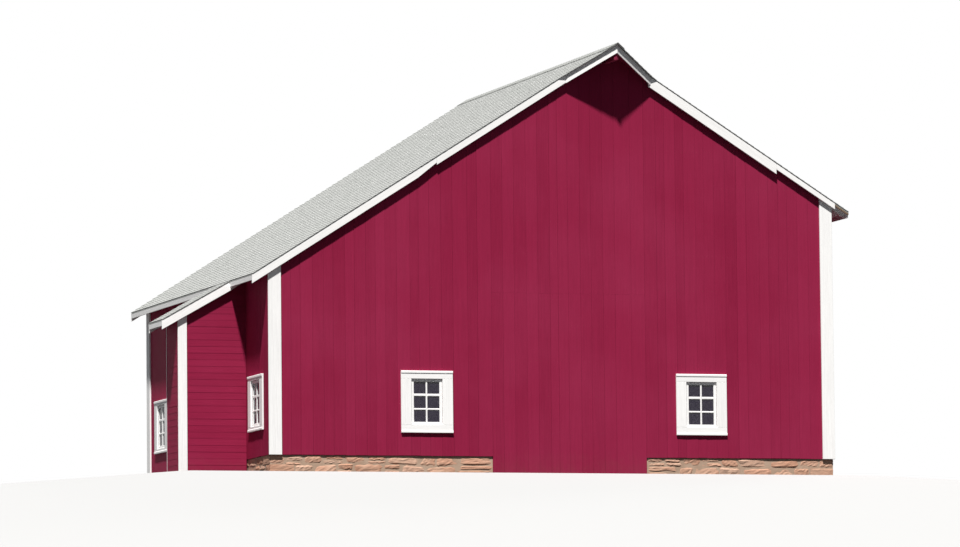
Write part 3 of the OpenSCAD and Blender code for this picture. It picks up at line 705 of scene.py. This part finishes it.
def fascia(maker, x, side, y0, y1):
    """One length of fascia under an eave, its top cut to the roof's slope."""
    inner, foot = x - side * FASCIA_T, deck_under(x) - FASCIA_H
    section = [(x, foot), (inner, foot), under_roof(inner), under_roof(x)]
    corners = [Vector((a, y, b)) for y in (y0 + 0.0008, y1 - 0.0008) for a, b in section]
    shift = maker.random.uniform(0, 50)
    grain = [(c.z + c.x + shift, c.y + shift, c.x) for c in corners]
    hexahedron(maker, corners, grain, maker.random.random())


def eave_boards():
    maker = Maker("eave_fascia_boards", 34)
    front, back = FRONT - RAKE_IN, BACK + RAKE_IN
    first, second = FASCIA_JOINTS
    for x, side, lengths in (
        (FASCIA_LEFT, -1, (
            (front, CLOSET_FRONT - RAKE_REACH), (CLOSET_BACK + RAKE_REACH, second), (second, back),
        )),
        (FASCIA_RIGHT, 1, ((front, first), (first, second), (second, back))),
    ):
        for y0, y1 in lengths:
            fascia(maker, x, side, y0, y1)
    soften(maker.build([WHITE_PAINT], "trim", "eave_fascias"), 0.002)


def corner_trim():
    maker = Maker("corner_trim", 36)
    for face, lap in ((FRONT_FACE, 0.0), (BACK_FACE, CORNER_T)):
        for x0, x1 in ((LEFT - lap, LEFT + CORNER_W), (RIGHT + lap, RIGHT - CORNER_W)):
            board(maker, face, face.seen(up_to_roof(x0, x1, BASE)), -CORNER_T, CORNER_T)
    for face, way, wall in ((LEFT_FACE, -1, LEFT), (RIGHT_FACE, 1, RIGHT)):
        a0, a1 = sorted(((BACK - CORNER_SIDE_W) * way, BACK * way))
        top = deck_under(wall + way * CORNER_T) - FASCIA_H
        board(maker, face, box_outline(a0, BASE, a1, top), -CORNER_T, CORNER_T)
    maker.build([WHITE_PAINT], "trim", "corner_boards")


def closet_trim():
    maker = Maker("closet_corner_trim", 37)
    inner = CLOSET_X + CLOSET_CORNER_W
    for face in CLOSET_ENDS:
        board(maker, face, face.seen(up_to_roof(CLOSET_X, inner, 0)), -CORNER_T, CORNER_T)
    maker.build([WHITE_PAINT], "trim", "closet_corner_boards")
    maker = Maker("closet_roof_trim", 38)
    for face in CLOSET_ENDS:
        for x0, x1, top in ((CLOSET_FASCIA, EAVE_LEFT, -COVER_V), (EAVE_LEFT, LEFT, 0)):
            outline = face.seen(roof_band(x0, x1, top, CLOSET_RAKE * SLOPE))
            board(maker, face, outline, -RAKE_REACH, RAKE_T, 0.003, (face.right.x, RISE))
    fascia(maker, CLOSET_FASCIA, -1, CLOSET_FRONT - RAKE_IN, CLOSET_BACK + RAKE_IN)
    soften(maker.build([WHITE_PAINT], "trim", "closet_roof_boards"), 0.0015)


# Roof
DECK_T, DECK_W, DECK_GAP, BED_T = 0.026, 0.20, 0.003, 0.0195
EXPOSURE, LAP, BUTT, TAIL, DRIP = 0.125, 0.055, 0.0085, 0.004, 0.004
SHINGLE_WIDTHS, SHINGLE_GAP, NARROWEST, LIFT = (0.085, 0.21), 0.0025, 0.012, 0.0022
COURSE_START, LAST_COURSE, UNEVEN, UNEVEN_AT_EAVE = 0.012, 0.02, 0.004, 0.001
DECK_TOP = -ROOF_T + DECK_T
BED_TOP = DECK_TOP + BED_T
CAP_STEP, CAP_LAP, CAP_T, CAP_GAP = 0.15, 0.05, 0.008, 0.002
CAP_UNDER, CAP_OVER = -0.006, 0.003


def slope_point(side, run, y, above):
    """A point by its run down the slope from the ridge, its y and its height above the shingle line."""
    x = RIDGE_X + side * (run * COS + above * SIN)
    return Vector((x, y, RIDGE_Z - run * SIN + above * COS + kicked_up(x)))


def roof_layer(maker, side, runs, front, back, levels, plumb, along_y, tone, slot):
    """A flat piece of the roof between two runs and two levels, cut plumb where a run is in plumb."""
    corners, grain = [], []
    for above in levels:
        for run, rear in ((runs[0], 0), (runs[1], 0), (runs[1], 1), (runs[0], 1)):
            run -= above * RISE if run in plumb else 0
            x = RIDGE_X + side * (run * COS + above * SIN)
            y = back if rear else front(x)
            corners.append(slope_point(side, run, y, above))
            grain.append((run, y, above) if along_y else (y, run, above))
    shift = Vector((tone * 40, tone * 70, 0))
    hexahedron(maker, corners, [Vector(g) + shift for g in grain], tone, slot)


def shingle_course(maker, side, butt, tail, front, back, uneven):
    """One course of shingles of random widths, cut to the roof's front edge."""
    rng = maker.random
    edges = [front(RIDGE_X + side * run * COS) for run in (butt, tail)]
    y = edges[0] + rng.uniform(-0.10, 0.0)
    while y < back:
        wide = rng.uniform(*SHINGLE_WIDTHS)
        y0, y1 = y, min(y + wide, back)
        y += wide
        if y1 - max(y0, edges[0]) < NARROWEST:
            continue
        low, lift = butt + rng.uniform(-uneven, uneven), rng.uniform(0, LIFT)
        rear = y1 - SHINGLE_GAP
        f0 = f1 = y0 + SHINGLE_GAP
        if y0 <= max(edges) + SHINGLE_GAP:
            f0, f1 = edges[0], min(edges[1], rear)
        under, over = (BED_TOP + TAIL, BED_TOP), (BED_TOP + TAIL + BUTT + lift, BED_TOP + TAIL)
        corners = [
            slope_point(side, run, place, level)
            for at_butt, at_tail in (under, over)
            for run, place, level in (
                (low, f0, at_butt), (low, rear, at_butt), (tail, rear, at_tail), (tail, f1, at_tail),
            )
        ]
        shift = rng.uniform(0, 50)
        grain = [(c.y + shift, r + shift, 0.0) for c, r in zip(corners, (butt, butt, tail, tail) * 2)]
        hexahedron(maker, corners, grain, rng.random())


def roof_side(name, node, side, xs, deck_xs, front, back, decks, seed):
    """Roof boards and courses of shingles on one slope. decks gives spans of boards and their slots."""
    maker = Maker(name, seed)
    start, length = (abs(x - RIDGE_X) * SLOPE for x in xs)
    deck_start, deck_end = (abs(x - RIDGE_X) * SLOPE for x in deck_xs)
    plumb = [deck_start, deck_end] + [end * SLOPE for span in decks for end in span[:2]]
    for run_a, run_b, line, rear, slot in decks:
        near, far = max(deck_start, run_a * SLOPE), min(deck_end, run_b * SLOPE)
        count = max(1, round((far - near) / DECK_W))
        for k in range(count):
            run0 = near + (far - near) * k / count
            run1 = near + (far - near) * (k + 1) / count - DECK_GAP if k < count - 1 else far
            tone = maker.random.random()
            roof_layer(maker, side, (run0, run1), line, rear, (-ROOF_T, DECK_TOP), plumb, True, tone, slot)
        roof_layer(maker, side, (near, far), line, rear, (DECK_TOP, BED_TOP), plumb, False, 0.3, 0)
    for k in range(math.ceil((length - start) / EXPOSURE) + 1):
        butt = length + COURSE_START - k * EXPOSURE
        tail = max(start, butt - EXPOSURE - LAP)
        if k == 0:
            butt = deck_end + DRIP
        if butt - start < LAST_COURSE:
            break
        shingle_course(maker, side, butt, tail, front, back, UNEVEN if k else UNEVEN_AT_EAVE)
    maker.build([SHINGLES, LENGTHWAYS, WHITE_PAINT, RED_PAINT], "shingles", node)


def ridge_shingles():
    """Short cap pieces that lap over the ridge."""
    maker = Maker("ridge_cap_shingles", 44)
    rng = maker.random
    cap_low, cap_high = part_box("ridge_cap")
    reach = (cap_high.x - cap_low.x) / 2 * SLOPE
    for k in range(math.ceil((ROOF_BACK - HOOD_TIP - CAP_LAP) / CAP_STEP)):
        y0, y1 = HOOD_TIP + k * CAP_STEP, min(HOOD_TIP + (k + 1) * CAP_STEP + CAP_LAP, ROOF_BACK)
        tone, shift = rng.random(), rng.uniform(0, 40)
        for side in (-1, 1):
            corners, grain = [], []
            for layer in (0, 1):
                for run, rear in ((0.0, 0), (reach, 0), (reach, 1), (0.0, 1)):
                    y = y1 if rear else y0
                    above = (CAP_UNDER if rear else CAP_OVER) + layer * CAP_T
                    if run:
                        run += rng.uniform(-UNEVEN, UNEVEN)
                        y = max(y, plan_front(RIDGE_X + side * run * COS) + CAP_GAP)
                    corners.append(slope_point(side, run or -above * RISE, y, above))
                    grain.append((run + shift, y + shift, 0.0))
            hexahedron(maker, corners, grain, tone)
    maker.build([SHINGLES], "shingles", "ridge_cap")


def roofs():
    inner_y, inner_back = FRONT - RAKE_IN, BACK + RAKE_IN
    line = lambda y: lambda x: y
    hood_line = lambda x: HOOD_TIP + (HOOD_LAP + FASCIA_T) * HOOD_ALONG + HOOD_SLANT * abs(x - RIDGE_X)
    bare, white, red, end = 1, 2, 3, 99.0
    wall_run, rake_run, right_run = RIDGE_X - LEFT, rake_high.x - RIDGE_X, RIGHT - RIDGE_X
    hood = [(0.0, RAKE_START, hood_line, FRONT, red), (0.0, RAKE_START, line(FRONT), inner_back, bare)]
    between = line(inner_y), inner_back
    left = hood + [(RAKE_START, wall_run, *between, bare), (wall_run, end, *between, white)]
    right = hood + [
        (RAKE_START, right_run, *between, bare), (right_run, rake_run, *between, white),
        (rake_run, end, *between, white), (rake_run, end, line(FRONT - RAKE_REACH), inner_y, bare),
        (rake_run, end, line(inner_back), BACK + RAKE_REACH, bare),
    ]
    between = line(CLOSET_FRONT - RAKE_IN), CLOSET_BACK + RAKE_IN
    closet_run = RIDGE_X - CLOSET_X
    closet = [(0.0, closet_run, *between, bare), (closet_run, end, *between, white)]
    roof_side(
        "left_roof_shingles", "roof_left", -1, (RIDGE_X, EAVE_LEFT), (RIDGE_X, FASCIA_LEFT),
        plan_front, ROOF_BACK, left, 41,
    )
    roof_side(
        "right_roof_shingles", "roof_right", 1, (RIDGE_X, EAVE_RIGHT), (RIDGE_X, FASCIA_RIGHT),
        plan_front, ROOF_BACK, right, 42,
    )
    roof_side(
        "closet_roof_shingles", "closet_roof", -1, (EAVE_LEFT, closet_roof_low.x),
        (FASCIA_LEFT, CLOSET_FASCIA), line(closet_roof_low.y), closet_roof_high.y, closet, 43,
    )
    ridge_shingles()


# Foundation. STONE_ROUND is a share, and CORNER_SQUARE the power that makes corner stones square
JOINT, STONE_BACK, STONE_DEEP, MORTAR_BACK, CORNER_PROUD = 0.012, 0.009, 0.07, 0.007, 0.004
COURSES = (0.0, 0.53 * BASE, BASE)
STONE_LENGTHS, LAST_LENGTH, SPLIT_SHARE, SPLIT_AT = (0.24, 0.60), 0.30, 0.28, (0.40, 0.60)
STONE_LEAN, STONE_SAG, BULGES = 0.030, 0.016, (0.005, 0.014)
STONE_ROUND, STONE_GRIT, STONE_TILT = 0.13, 0.0045, 0.008
STONE_COLUMNS, STONE_ROWS, CORNER_GRID, CORNER_SQUARE = 9, 6, 6, 24

# Reach of each course's corner stone along a gable and along a side, with none at the doorway
CORNER_STONES = ((0.45, 0.28, 0.0), (0.27, 0.46, 0.0))
GABLE, SIDE, DOORWAY = 0, 1, 2


def stone(maker, face, corners, bulge):
    """A rough stone: a rounded, bulging block on a quadrilateral outline."""
    rng = maker.random
    n_a, n_b = STONE_COLUMNS, STONE_ROWS
    p00, p10, p11, p01 = [Vector(c) for c in corners]
    tone, shift = rng.random(), Vector([rng.uniform(0, 50) for _ in range(3)])
    tilt_a, tilt_b = (rng.uniform(-STONE_TILT, STONE_TILT) for _ in range(2))
    centre = (p00 + p10 + p11 + p01) / 4
    points, grain, faces = [], [], []
    for j in range(n_b):
        for i in range(n_a):
            u, v = i / (n_a - 1), j / (n_b - 1)
            p = (p00 * (1 - u) + p10 * u) * (1 - v) + (p01 * (1 - u) + p11 * u) * v
            cu, cv = 2 * u - 1, 2 * v - 1
            dome = (1 - cu ** 6) * (1 - cv ** 6)
            corner = (abs(cu) ** 5) * (abs(cv) ** 5)
            p = p + (centre - p) * STONE_ROUND * corner
            noise = rng.uniform(-1, 1) * STONE_GRIT
            level = STONE_BACK - bulge * dome + noise + tilt_a * cu + tilt_b * cv
            edge = i in (0, n_a - 1) or j in (0, n_b - 1)
            p = p + Vector((rng.uniform(-1, 1), rng.uniform(-1, 1))) * (0.005 if edge else 0.003)
            p.y = max(p.y, 0.001)
            points.append(face.at(p.x, p.y, level + (0.005 if edge else 0)))
            grain.append((p.x + shift.x, p.y + shift.y, shift.z))
            if i and j:
                k = j * n_a + i
                faces.append((k - n_a - 1, k - n_a, k, k - 1))
    ring = list(range(n_a)) + [j * n_a + n_a - 1 for j in range(1, n_b)]
    ring += [(n_b - 1) * n_a + i for i in range(n_a - 2, -1, -1)] + [j * n_a for j in range(n_b - 2, 0, -1)]
    start, m = len(points), len(ring)
    points += [points[k] - face.out * STONE_DEEP for k in ring]
    grain += [grain[k] for k in ring]
    faces += [(ring[k], start + k, start + (k + 1) % m, ring[(k + 1) % m]) for k in range(m)]
    faces.append(tuple(range(start + m - 1, start - 1, -1)))
    maker.solid(points, faces, grain, tone)


def corner_stone(maker, low, high):
    """A squared stone that turns a corner: a rounded, uneven block."""
    rng = maker.random
    n, power = CORNER_GRID, CORNER_SQUARE
    middle, half = (low + high) / 2, (high - low) / 2
    tone, shift = rng.random(), rng.uniform(0, 50)
    points, grain, faces, index = [], [], [], {}

    def vertex(key):
        if key not in index:
            u = [2 * k / n - 1 for k in key]
            reach = sum(abs(c) ** power for c in u) ** (1 / power) / (1 - rng.uniform(0, 0.035))
            index[key] = len(points)
            points.append(middle + Vector([h * c / reach for h, c in zip(half, u)]))
            grain.append((points[-1].x + shift, points[-1].z, points[-1].y))
        return index[key]

    for axis in range(3):
        for end in (0, n):
            for i in range(n):
                for j in range(n):
                    keys = [[i, j], [i + 1, j], [i + 1, j + 1], [i, j + 1]]
                    ring = [vertex(tuple(key[:axis] + [end] + key[axis:])) for key in keys]
                    faces.append(tuple(ring if (end == n) == (axis != 1) else ring[::-1]))
    maker.solid(points, faces, grain, tone)


def rubble(maker, face, a0, a1, end0, end1):
    """Two rough courses of stones, some split into thin ones, between corner stones."""
    rng = maker.random
    half = JOINT / 2
    walk = lambda a, k: (0.016 * math.sin(2.1 * a + 1.7 * k) + 0.010 * math.sin(5.3 * a + k)) * (0 < k < 2)
    for k, (z0, z1) in enumerate(zip(COURSES, COURSES[1:])):
        edges, stop = [a0 + CORNER_STONES[k][end0]], a1 - CORNER_STONES[k][end1]
        while edges[-1] < stop - LAST_LENGTH:
            edges.append(min(edges[-1] + rng.uniform(*STONE_LENGTHS), stop))
        edges[-1] = stop
        leans = [0.0] + [rng.uniform(-STONE_LEAN, STONE_LEAN) for _ in edges[1:-1]] + [0.0]
        for (e0, l0), (e1, l1) in zip(zip(edges, leans), zip(edges[1:], leans[1:])):
            cuts = [0.0, rng.uniform(*SPLIT_AT), 1.0] if rng.random() < SPLIT_SHARE else [0.0, 1.0]
            sag = rng.uniform(0.0, STONE_SAG) if k else 0.0

            def corner(e, lean, way, share, up):
                z = z0 + walk(e, k) + share * (z1 + walk(e, k + 1) - sag - z0 - walk(e, k))
                return (e + lean * (2 * share - 1) + way * half, z + up * half)

            for c0, c1 in zip(cuts, cuts[1:]):
                foot = 1 if k or c0 else 0
                corners = [
                    corner(e0, l0, 1, c0, foot), corner(e1, l1, -1, c0, foot),
                    corner(e1, l1, -1, c1, -1), corner(e0, l0, 1, c1, -1),
                ]
                stone(maker, face, corners, rng.uniform(*BULGES))


def foundation():
    low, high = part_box("foundation_front_left")
    thick = high.y - low.y
    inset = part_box("foundation_sides")[0].x - LEFT
    low_x, high_x, low_y, high_y = LEFT + inset, RIGHT - inset, FRONT + inset, BACK - inset
    front, back = Face((0, low_y, 0), (1, 0, 0)), Face((0, high_y, 0), (-1, 0, 0))
    left, right = Face((low_x, 0, 0), (0, -1, 0)), Face((high_x, 0, 0), (0, 1, 0))
    half, core_ends = JOINT / 2, (MORTAR_BACK, thick, 0.0)
    for name, seed, node, lengths, corners in (
        ("front_left_rubble", 51, "foundation_front_left",
         [(front, low_x, door_low.x, GABLE, DOORWAY)], [(low_x, 1, low_y, 1)]),
        ("front_right_rubble", 52, "foundation_front_right",
         [(front, door_high.x, high_x, DOORWAY, GABLE)], [(high_x, -1, low_y, 1)]),
        ("side_rubble", 53, "foundation_sides",
         [(left, -high_y, -low_y, SIDE, SIDE), (right, low_y, high_y, SIDE, SIDE)], []),
        ("back_rubble", 54, "foundation_back",
         [(back, -high_x, -low_x, GABLE, GABLE)], [(low_x, 1, high_y, -1), (high_x, -1, high_y, -1)]),
    ):
        maker = Maker(name, seed)
        for face, a0, a1, end0, end1 in lengths:
            rubble(maker, face, a0, a1, end0, end1)
            outline = box_outline(a0 + core_ends[end0], 0, a1 - core_ends[end1], BASE)
            board(maker, face, outline, MORTAR_BACK, thick - MORTAR_BACK, 0.002, (1, 0), 0.5, None, 1)
        for x, way_x, y, way_y in corners:
            for z0, z1, reaches in zip(COURSES, COURSES[1:], CORNER_STONES):
                foot = z0 + (half if z0 else 0.0005)
                ends = [
                    (x - way_x * CORNER_PROUD, y - way_y * CORNER_PROUD, foot),
                    (x + way_x * (reaches[GABLE] - half), y + way_y * (reaches[SIDE] - half), z1 - half),
                ]
                corner_stone(maker, *(Vector([pick(c) for c in zip(*ends)]) for pick in (min, max)))
        maker.build([STONE, MORTAR], "stone", node)


# Windows
def window(casing, sash, glass, face, centre, z0, z1):
    """One window: wide flat casing with cap and sill, sash with six lights, and its panes."""
    a0, a1 = centre - CASING_W / 2, centre + CASING_W / 2
    s0, s1 = centre - SASH_W / 2, centre + SASH_W / 2
    top, foot = SASH_Z + SASH_H, SASH_Z
    across, upright, gap, edge = (1, 0), (0, 1), 0.0006, 0.002
    for outline, along in (
        ((a0, top + gap, a1, z1), across), ((a0, z0, a1, foot - gap), across),
        ((a0, foot + gap, s0, top - gap), upright), ((s1, foot + gap, a1, top - gap), upright),
    ):
        board(casing, face, box_outline(*outline), -CASING_T, CASING_T, 0.003, along)
    flat, out = -CASING_T, -CASING_T - NOSE_OUT
    cap = [(flat, z1 - NOSE_H), (out, z1 - NOSE_H + 0.006), (out, z1 - 0.008), (flat, z1)]
    sill = [(flat, z0), (out + 0.003, z0), (out, z0 + 0.004), (out, z0 + 0.030), (flat, z0 + NOSE_H)]
    for section in (cap, sill):
        profile(casing, face, section, a0, a1)
    g0, g1, h0, h1 = s0 + SASH_RAIL, s1 - SASH_RAIL, foot + SASH_RAIL, top - SASH_RAIL
    low, high = foot + edge, top - edge
    for outline, along in (
        ((s0 + edge, low, g0, high), upright), ((g1, low, s1 - edge, high), upright),
        ((g0, low, g1, h0), across), ((g0, h1, g1, high), across),
    ):
        board(sash, face, box_outline(*outline), 0.0, SASH_T, 0.004, along)
    bars = [MUNTIN] * (PANE_ROWS - 2) + [MEETING]
    pane_w = (g1 - g0 - (PANE_COLUMNS - 1) * MUNTIN) / PANE_COLUMNS
    pane_h = (h1 - h0 - sum(bars)) / PANE_ROWS
    for k in range(1, PANE_COLUMNS):
        a = g0 + k * pane_w + (k - 1) * MUNTIN
        board(sash, face, box_outline(a, h0, a + MUNTIN, h1), 0.003, SASH_T - 0.006, BAR_BEVEL)
    middle = (SASH_T - 0.004) / 2
    b = h0
    for row in range(PANE_ROWS):
        for column in range(PANE_COLUMNS):
            a = g0 + column * (pane_w + MUNTIN)
            if row:
                outline = box_outline(a, b - bars[row - 1], a + pane_w, b)
                board(sash, face, outline, 0.0032, SASH_T - 0.0064, BAR_BEVEL, across)
            ta, tb = (glass.random.uniform(-PANE_TILT, PANE_TILT) for _ in range(2))
            lean = lambda u, v: ta * (u - a) + tb * (v - b)
            outline = box_outline(a, b, a + pane_w, b + pane_h)
            board(glass, face, outline, middle, PANE_T, 0.0003, upright, None, lean)
        b += pane_h + (bars[row] if row < len(bars) else 0)


def windows():
    for kind, seed, z0, z1, front, centres, back in (
        ("gable", 61, casing_low.z, casing_high.z, FRONT_FACE, gable_windows, BACK_FACE),
        ("side", 64, side_low.z, side_high.z, RIGHT_FACE, side_windows, LEFT_FACE),
    ):
        casing, sash = Maker(kind + "_window_frames", seed), Maker(kind + "_window_bars", seed + 1)
        glass = Maker(kind + "_window_panes", seed + 2)
        faces = [(front, centres), (back, [-c for c in centres])]
        for face, places in faces if kind == "gable" else faces[::-1]:
            for centre in places:
                window(casing, sash, glass, face, centre, z0, z1)
        casing.build([WHITE_PAINT], "trim", kind + "_window_casings")
        sash.build([WHITE_PAINT], "trim", kind + "_window_sashes")
        glass.build([PAINTED_DARK_GLASS], "window_glass", kind + "_window_glass")


# Timbers
TIMBER_EDGE = 0.006


def lookouts():
    """The short lookouts under the eaves, those of the closet raised to its roof."""
    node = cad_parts["eave_lookouts"]
    mesh = node.data.copy()
    mesh.transform(node.matrix_world)
    for vertex in mesh.vertices:
        vertex.co.z += kicked_up(vertex.co.x)
    mesh.materials.clear()
    mesh.materials.append(LOOKOUT_PAINT)
    made = placed("eave_lookout_blocks", mesh)
    soften(made, TIMBER_EDGE)
    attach(made, "root")
    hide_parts("eave_lookouts")


def dress_timbers():
    """Bare timber on the frame's own pieces, with the grain along each."""
    looks = {
        "side_sills": LENGTHWAYS, "gable_sills": ACROSS, "wall_posts": UPRIGHT, "inner_posts": UPRIGHT,
        "plates": LENGTHWAYS, "tie_beams": ACROSS, "aisle_ties": ACROSS, "braces": LEFT_SLOPE,
        "wall_girts": ACROSS, "gable_studs": UPRIGHT, "rafters_left": LEFT_SLOPE,
        "rafters_right": RIGHT_SLOPE, "ridge_beam": RIDGE, "pier_stones": STONE,
    }
    for name, material in looks.items():
        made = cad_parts[name]
        made.data.materials.clear()
        made.data.materials.append(material)
        soften(made, TIMBER_EDGE)


# Stage
def seen_directly(look):
    """1 for rays from the camera, also by way of a mirror or glass, and 0 for the light that bounces."""
    seen = look.add("LightPath", "Is Camera Ray")
    for ray in ("Is Glossy Ray", "Is Transmission Ray"):
        seen = look.sum(seen, look.add("LightPath", ray), "MAXIMUM")
    return seen


def mound():
    """A pale floor, level under the barn and falling away round it."""
    margin, fall, lowest, far, step, growth, corners = 0.30, 0.085, -9.0, 900.0, 0.35, 0.18, 12
    rings = [0.0, margin]
    while rings[-1] < far:
        rings.append(rings[-1] + max(step, rings[-1] * growth))
    lo, hi = cad_box
    points = []
    for ring in rings:
        z = max(lowest, -fall * max(0.0, ring - margin)) - 0.0005
        for k, (cx, cy) in enumerate(((hi.x, hi.y), (lo.x, hi.y), (lo.x, lo.y), (hi.x, lo.y))):
            for i in range(corners + 1):
                angle = math.pi / 2 * (k + i / corners)
                points.append((cx + ring * math.cos(angle), cy + ring * math.sin(angle), z))
    n = 4 * (corners + 1)
    faces = [
        (r * n + k, (r + 1) * n + k, (r + 1) * n + (k + 1) % n, r * n + (k + 1) % n)
        for r in range(len(rings) - 1) for k in range(n)
    ]
    mesh = bpy.data.meshes.new("floor")
    mesh.from_pydata(points, [], faces + [tuple(range(n))])
    mesh.update()
    floor = placed("floor", mesh)
    look = Look("pale_floor", (0.62, 0.62, 0.62), 1.0, 0.0)
    colour = look.mix(seen_directly(look), (0.06, 0.06, 0.06), (0.45, 0.45, 0.45))
    mesh.materials.append(look.finished(colour))


class Sky(Look):
    """The world's nodes, added as a material's are."""

    def __init__(self, world):
        world.use_nodes = True
        self.tree = world.node_tree
        self.tree.nodes.clear()


def sky():
    """Even light all round, and a white background."""
    world = bpy.data.worlds.new("studio")
    bpy.context.scene.world = world
    look = Sky(world)
    light = look.add("Background", 0, {"Color": (0.74, 0.85, 1.0, 1), "Strength": 0.14})
    shown = look.add("Background", 0, {"Color": (1, 1, 1, 1), "Strength": 1.0})
    mixed = look.add("MixShader", 0, {0: seen_directly(look), 1: light, 2: shown})
    look.put(look.tree.nodes.new("ShaderNodeOutputWorld").inputs["Surface"], mixed)


def sun(name, rays, energy, angle, colour):
    lamp = bpy.data.lights.new(name, "SUN")
    lamp.energy, lamp.angle, lamp.color = energy, math.radians(angle), colour
    made = placed(name, lamp)
    made.rotation_mode = "QUATERNION"
    made.rotation_quaternion = Vector(rays).to_track_quat("-Z", "Y")


def lamps():
    """A soft key light from the front left, high up, and a low one for the back and right walls."""
    sun("key", (0.45, 1.0, -2.0), 6.8, 3.0, (1.0, 0.985, 0.96))
    sun("back_fill", (-0.6, -1.0, -0.25), 1.8, 20.0, (1.0, 0.99, 0.98))


def camera():
    """The photograph's place and direction, with a longer lens to frame the barn."""
    place = Vector((LEFT - 28.088, FRONT - 101.07, -5.759))
    yaw, pitch, roll, focal_px, frame_px = -0.306, 0.0874, 0.010, 6100.0, 960.0
    turned = Matrix.Rotation(yaw, 3, "Z") @ Matrix.Rotation(pitch, 3, "X") @ Matrix.Rotation(roll, 3, "Y")
    right, forward, up = turned.col
    data = bpy.data.cameras.new("camera")
    data.sensor_width = 36.0
    data.lens = focal_px / frame_px * data.sensor_width
    data.clip_start, data.clip_end = 1.0, 3000.0
    made = placed("camera", data)
    made.matrix_world = Matrix.Translation(place) @ Matrix((right, up, -forward)).transposed().to_4x4()
    bpy.context.scene.camera = made


front_siding()
doorway_siding()
other_siding()
closet_siding()
rake_boards()
hood_edge_boards()
eave_boards()
corner_trim()
closet_trim()
roofs()
foundation()
windows()
lookouts()
dress_timbers()
mound()
sky()
lamps()
camera()
bpy.context.scene.view_settings.view_transform = "Standard"
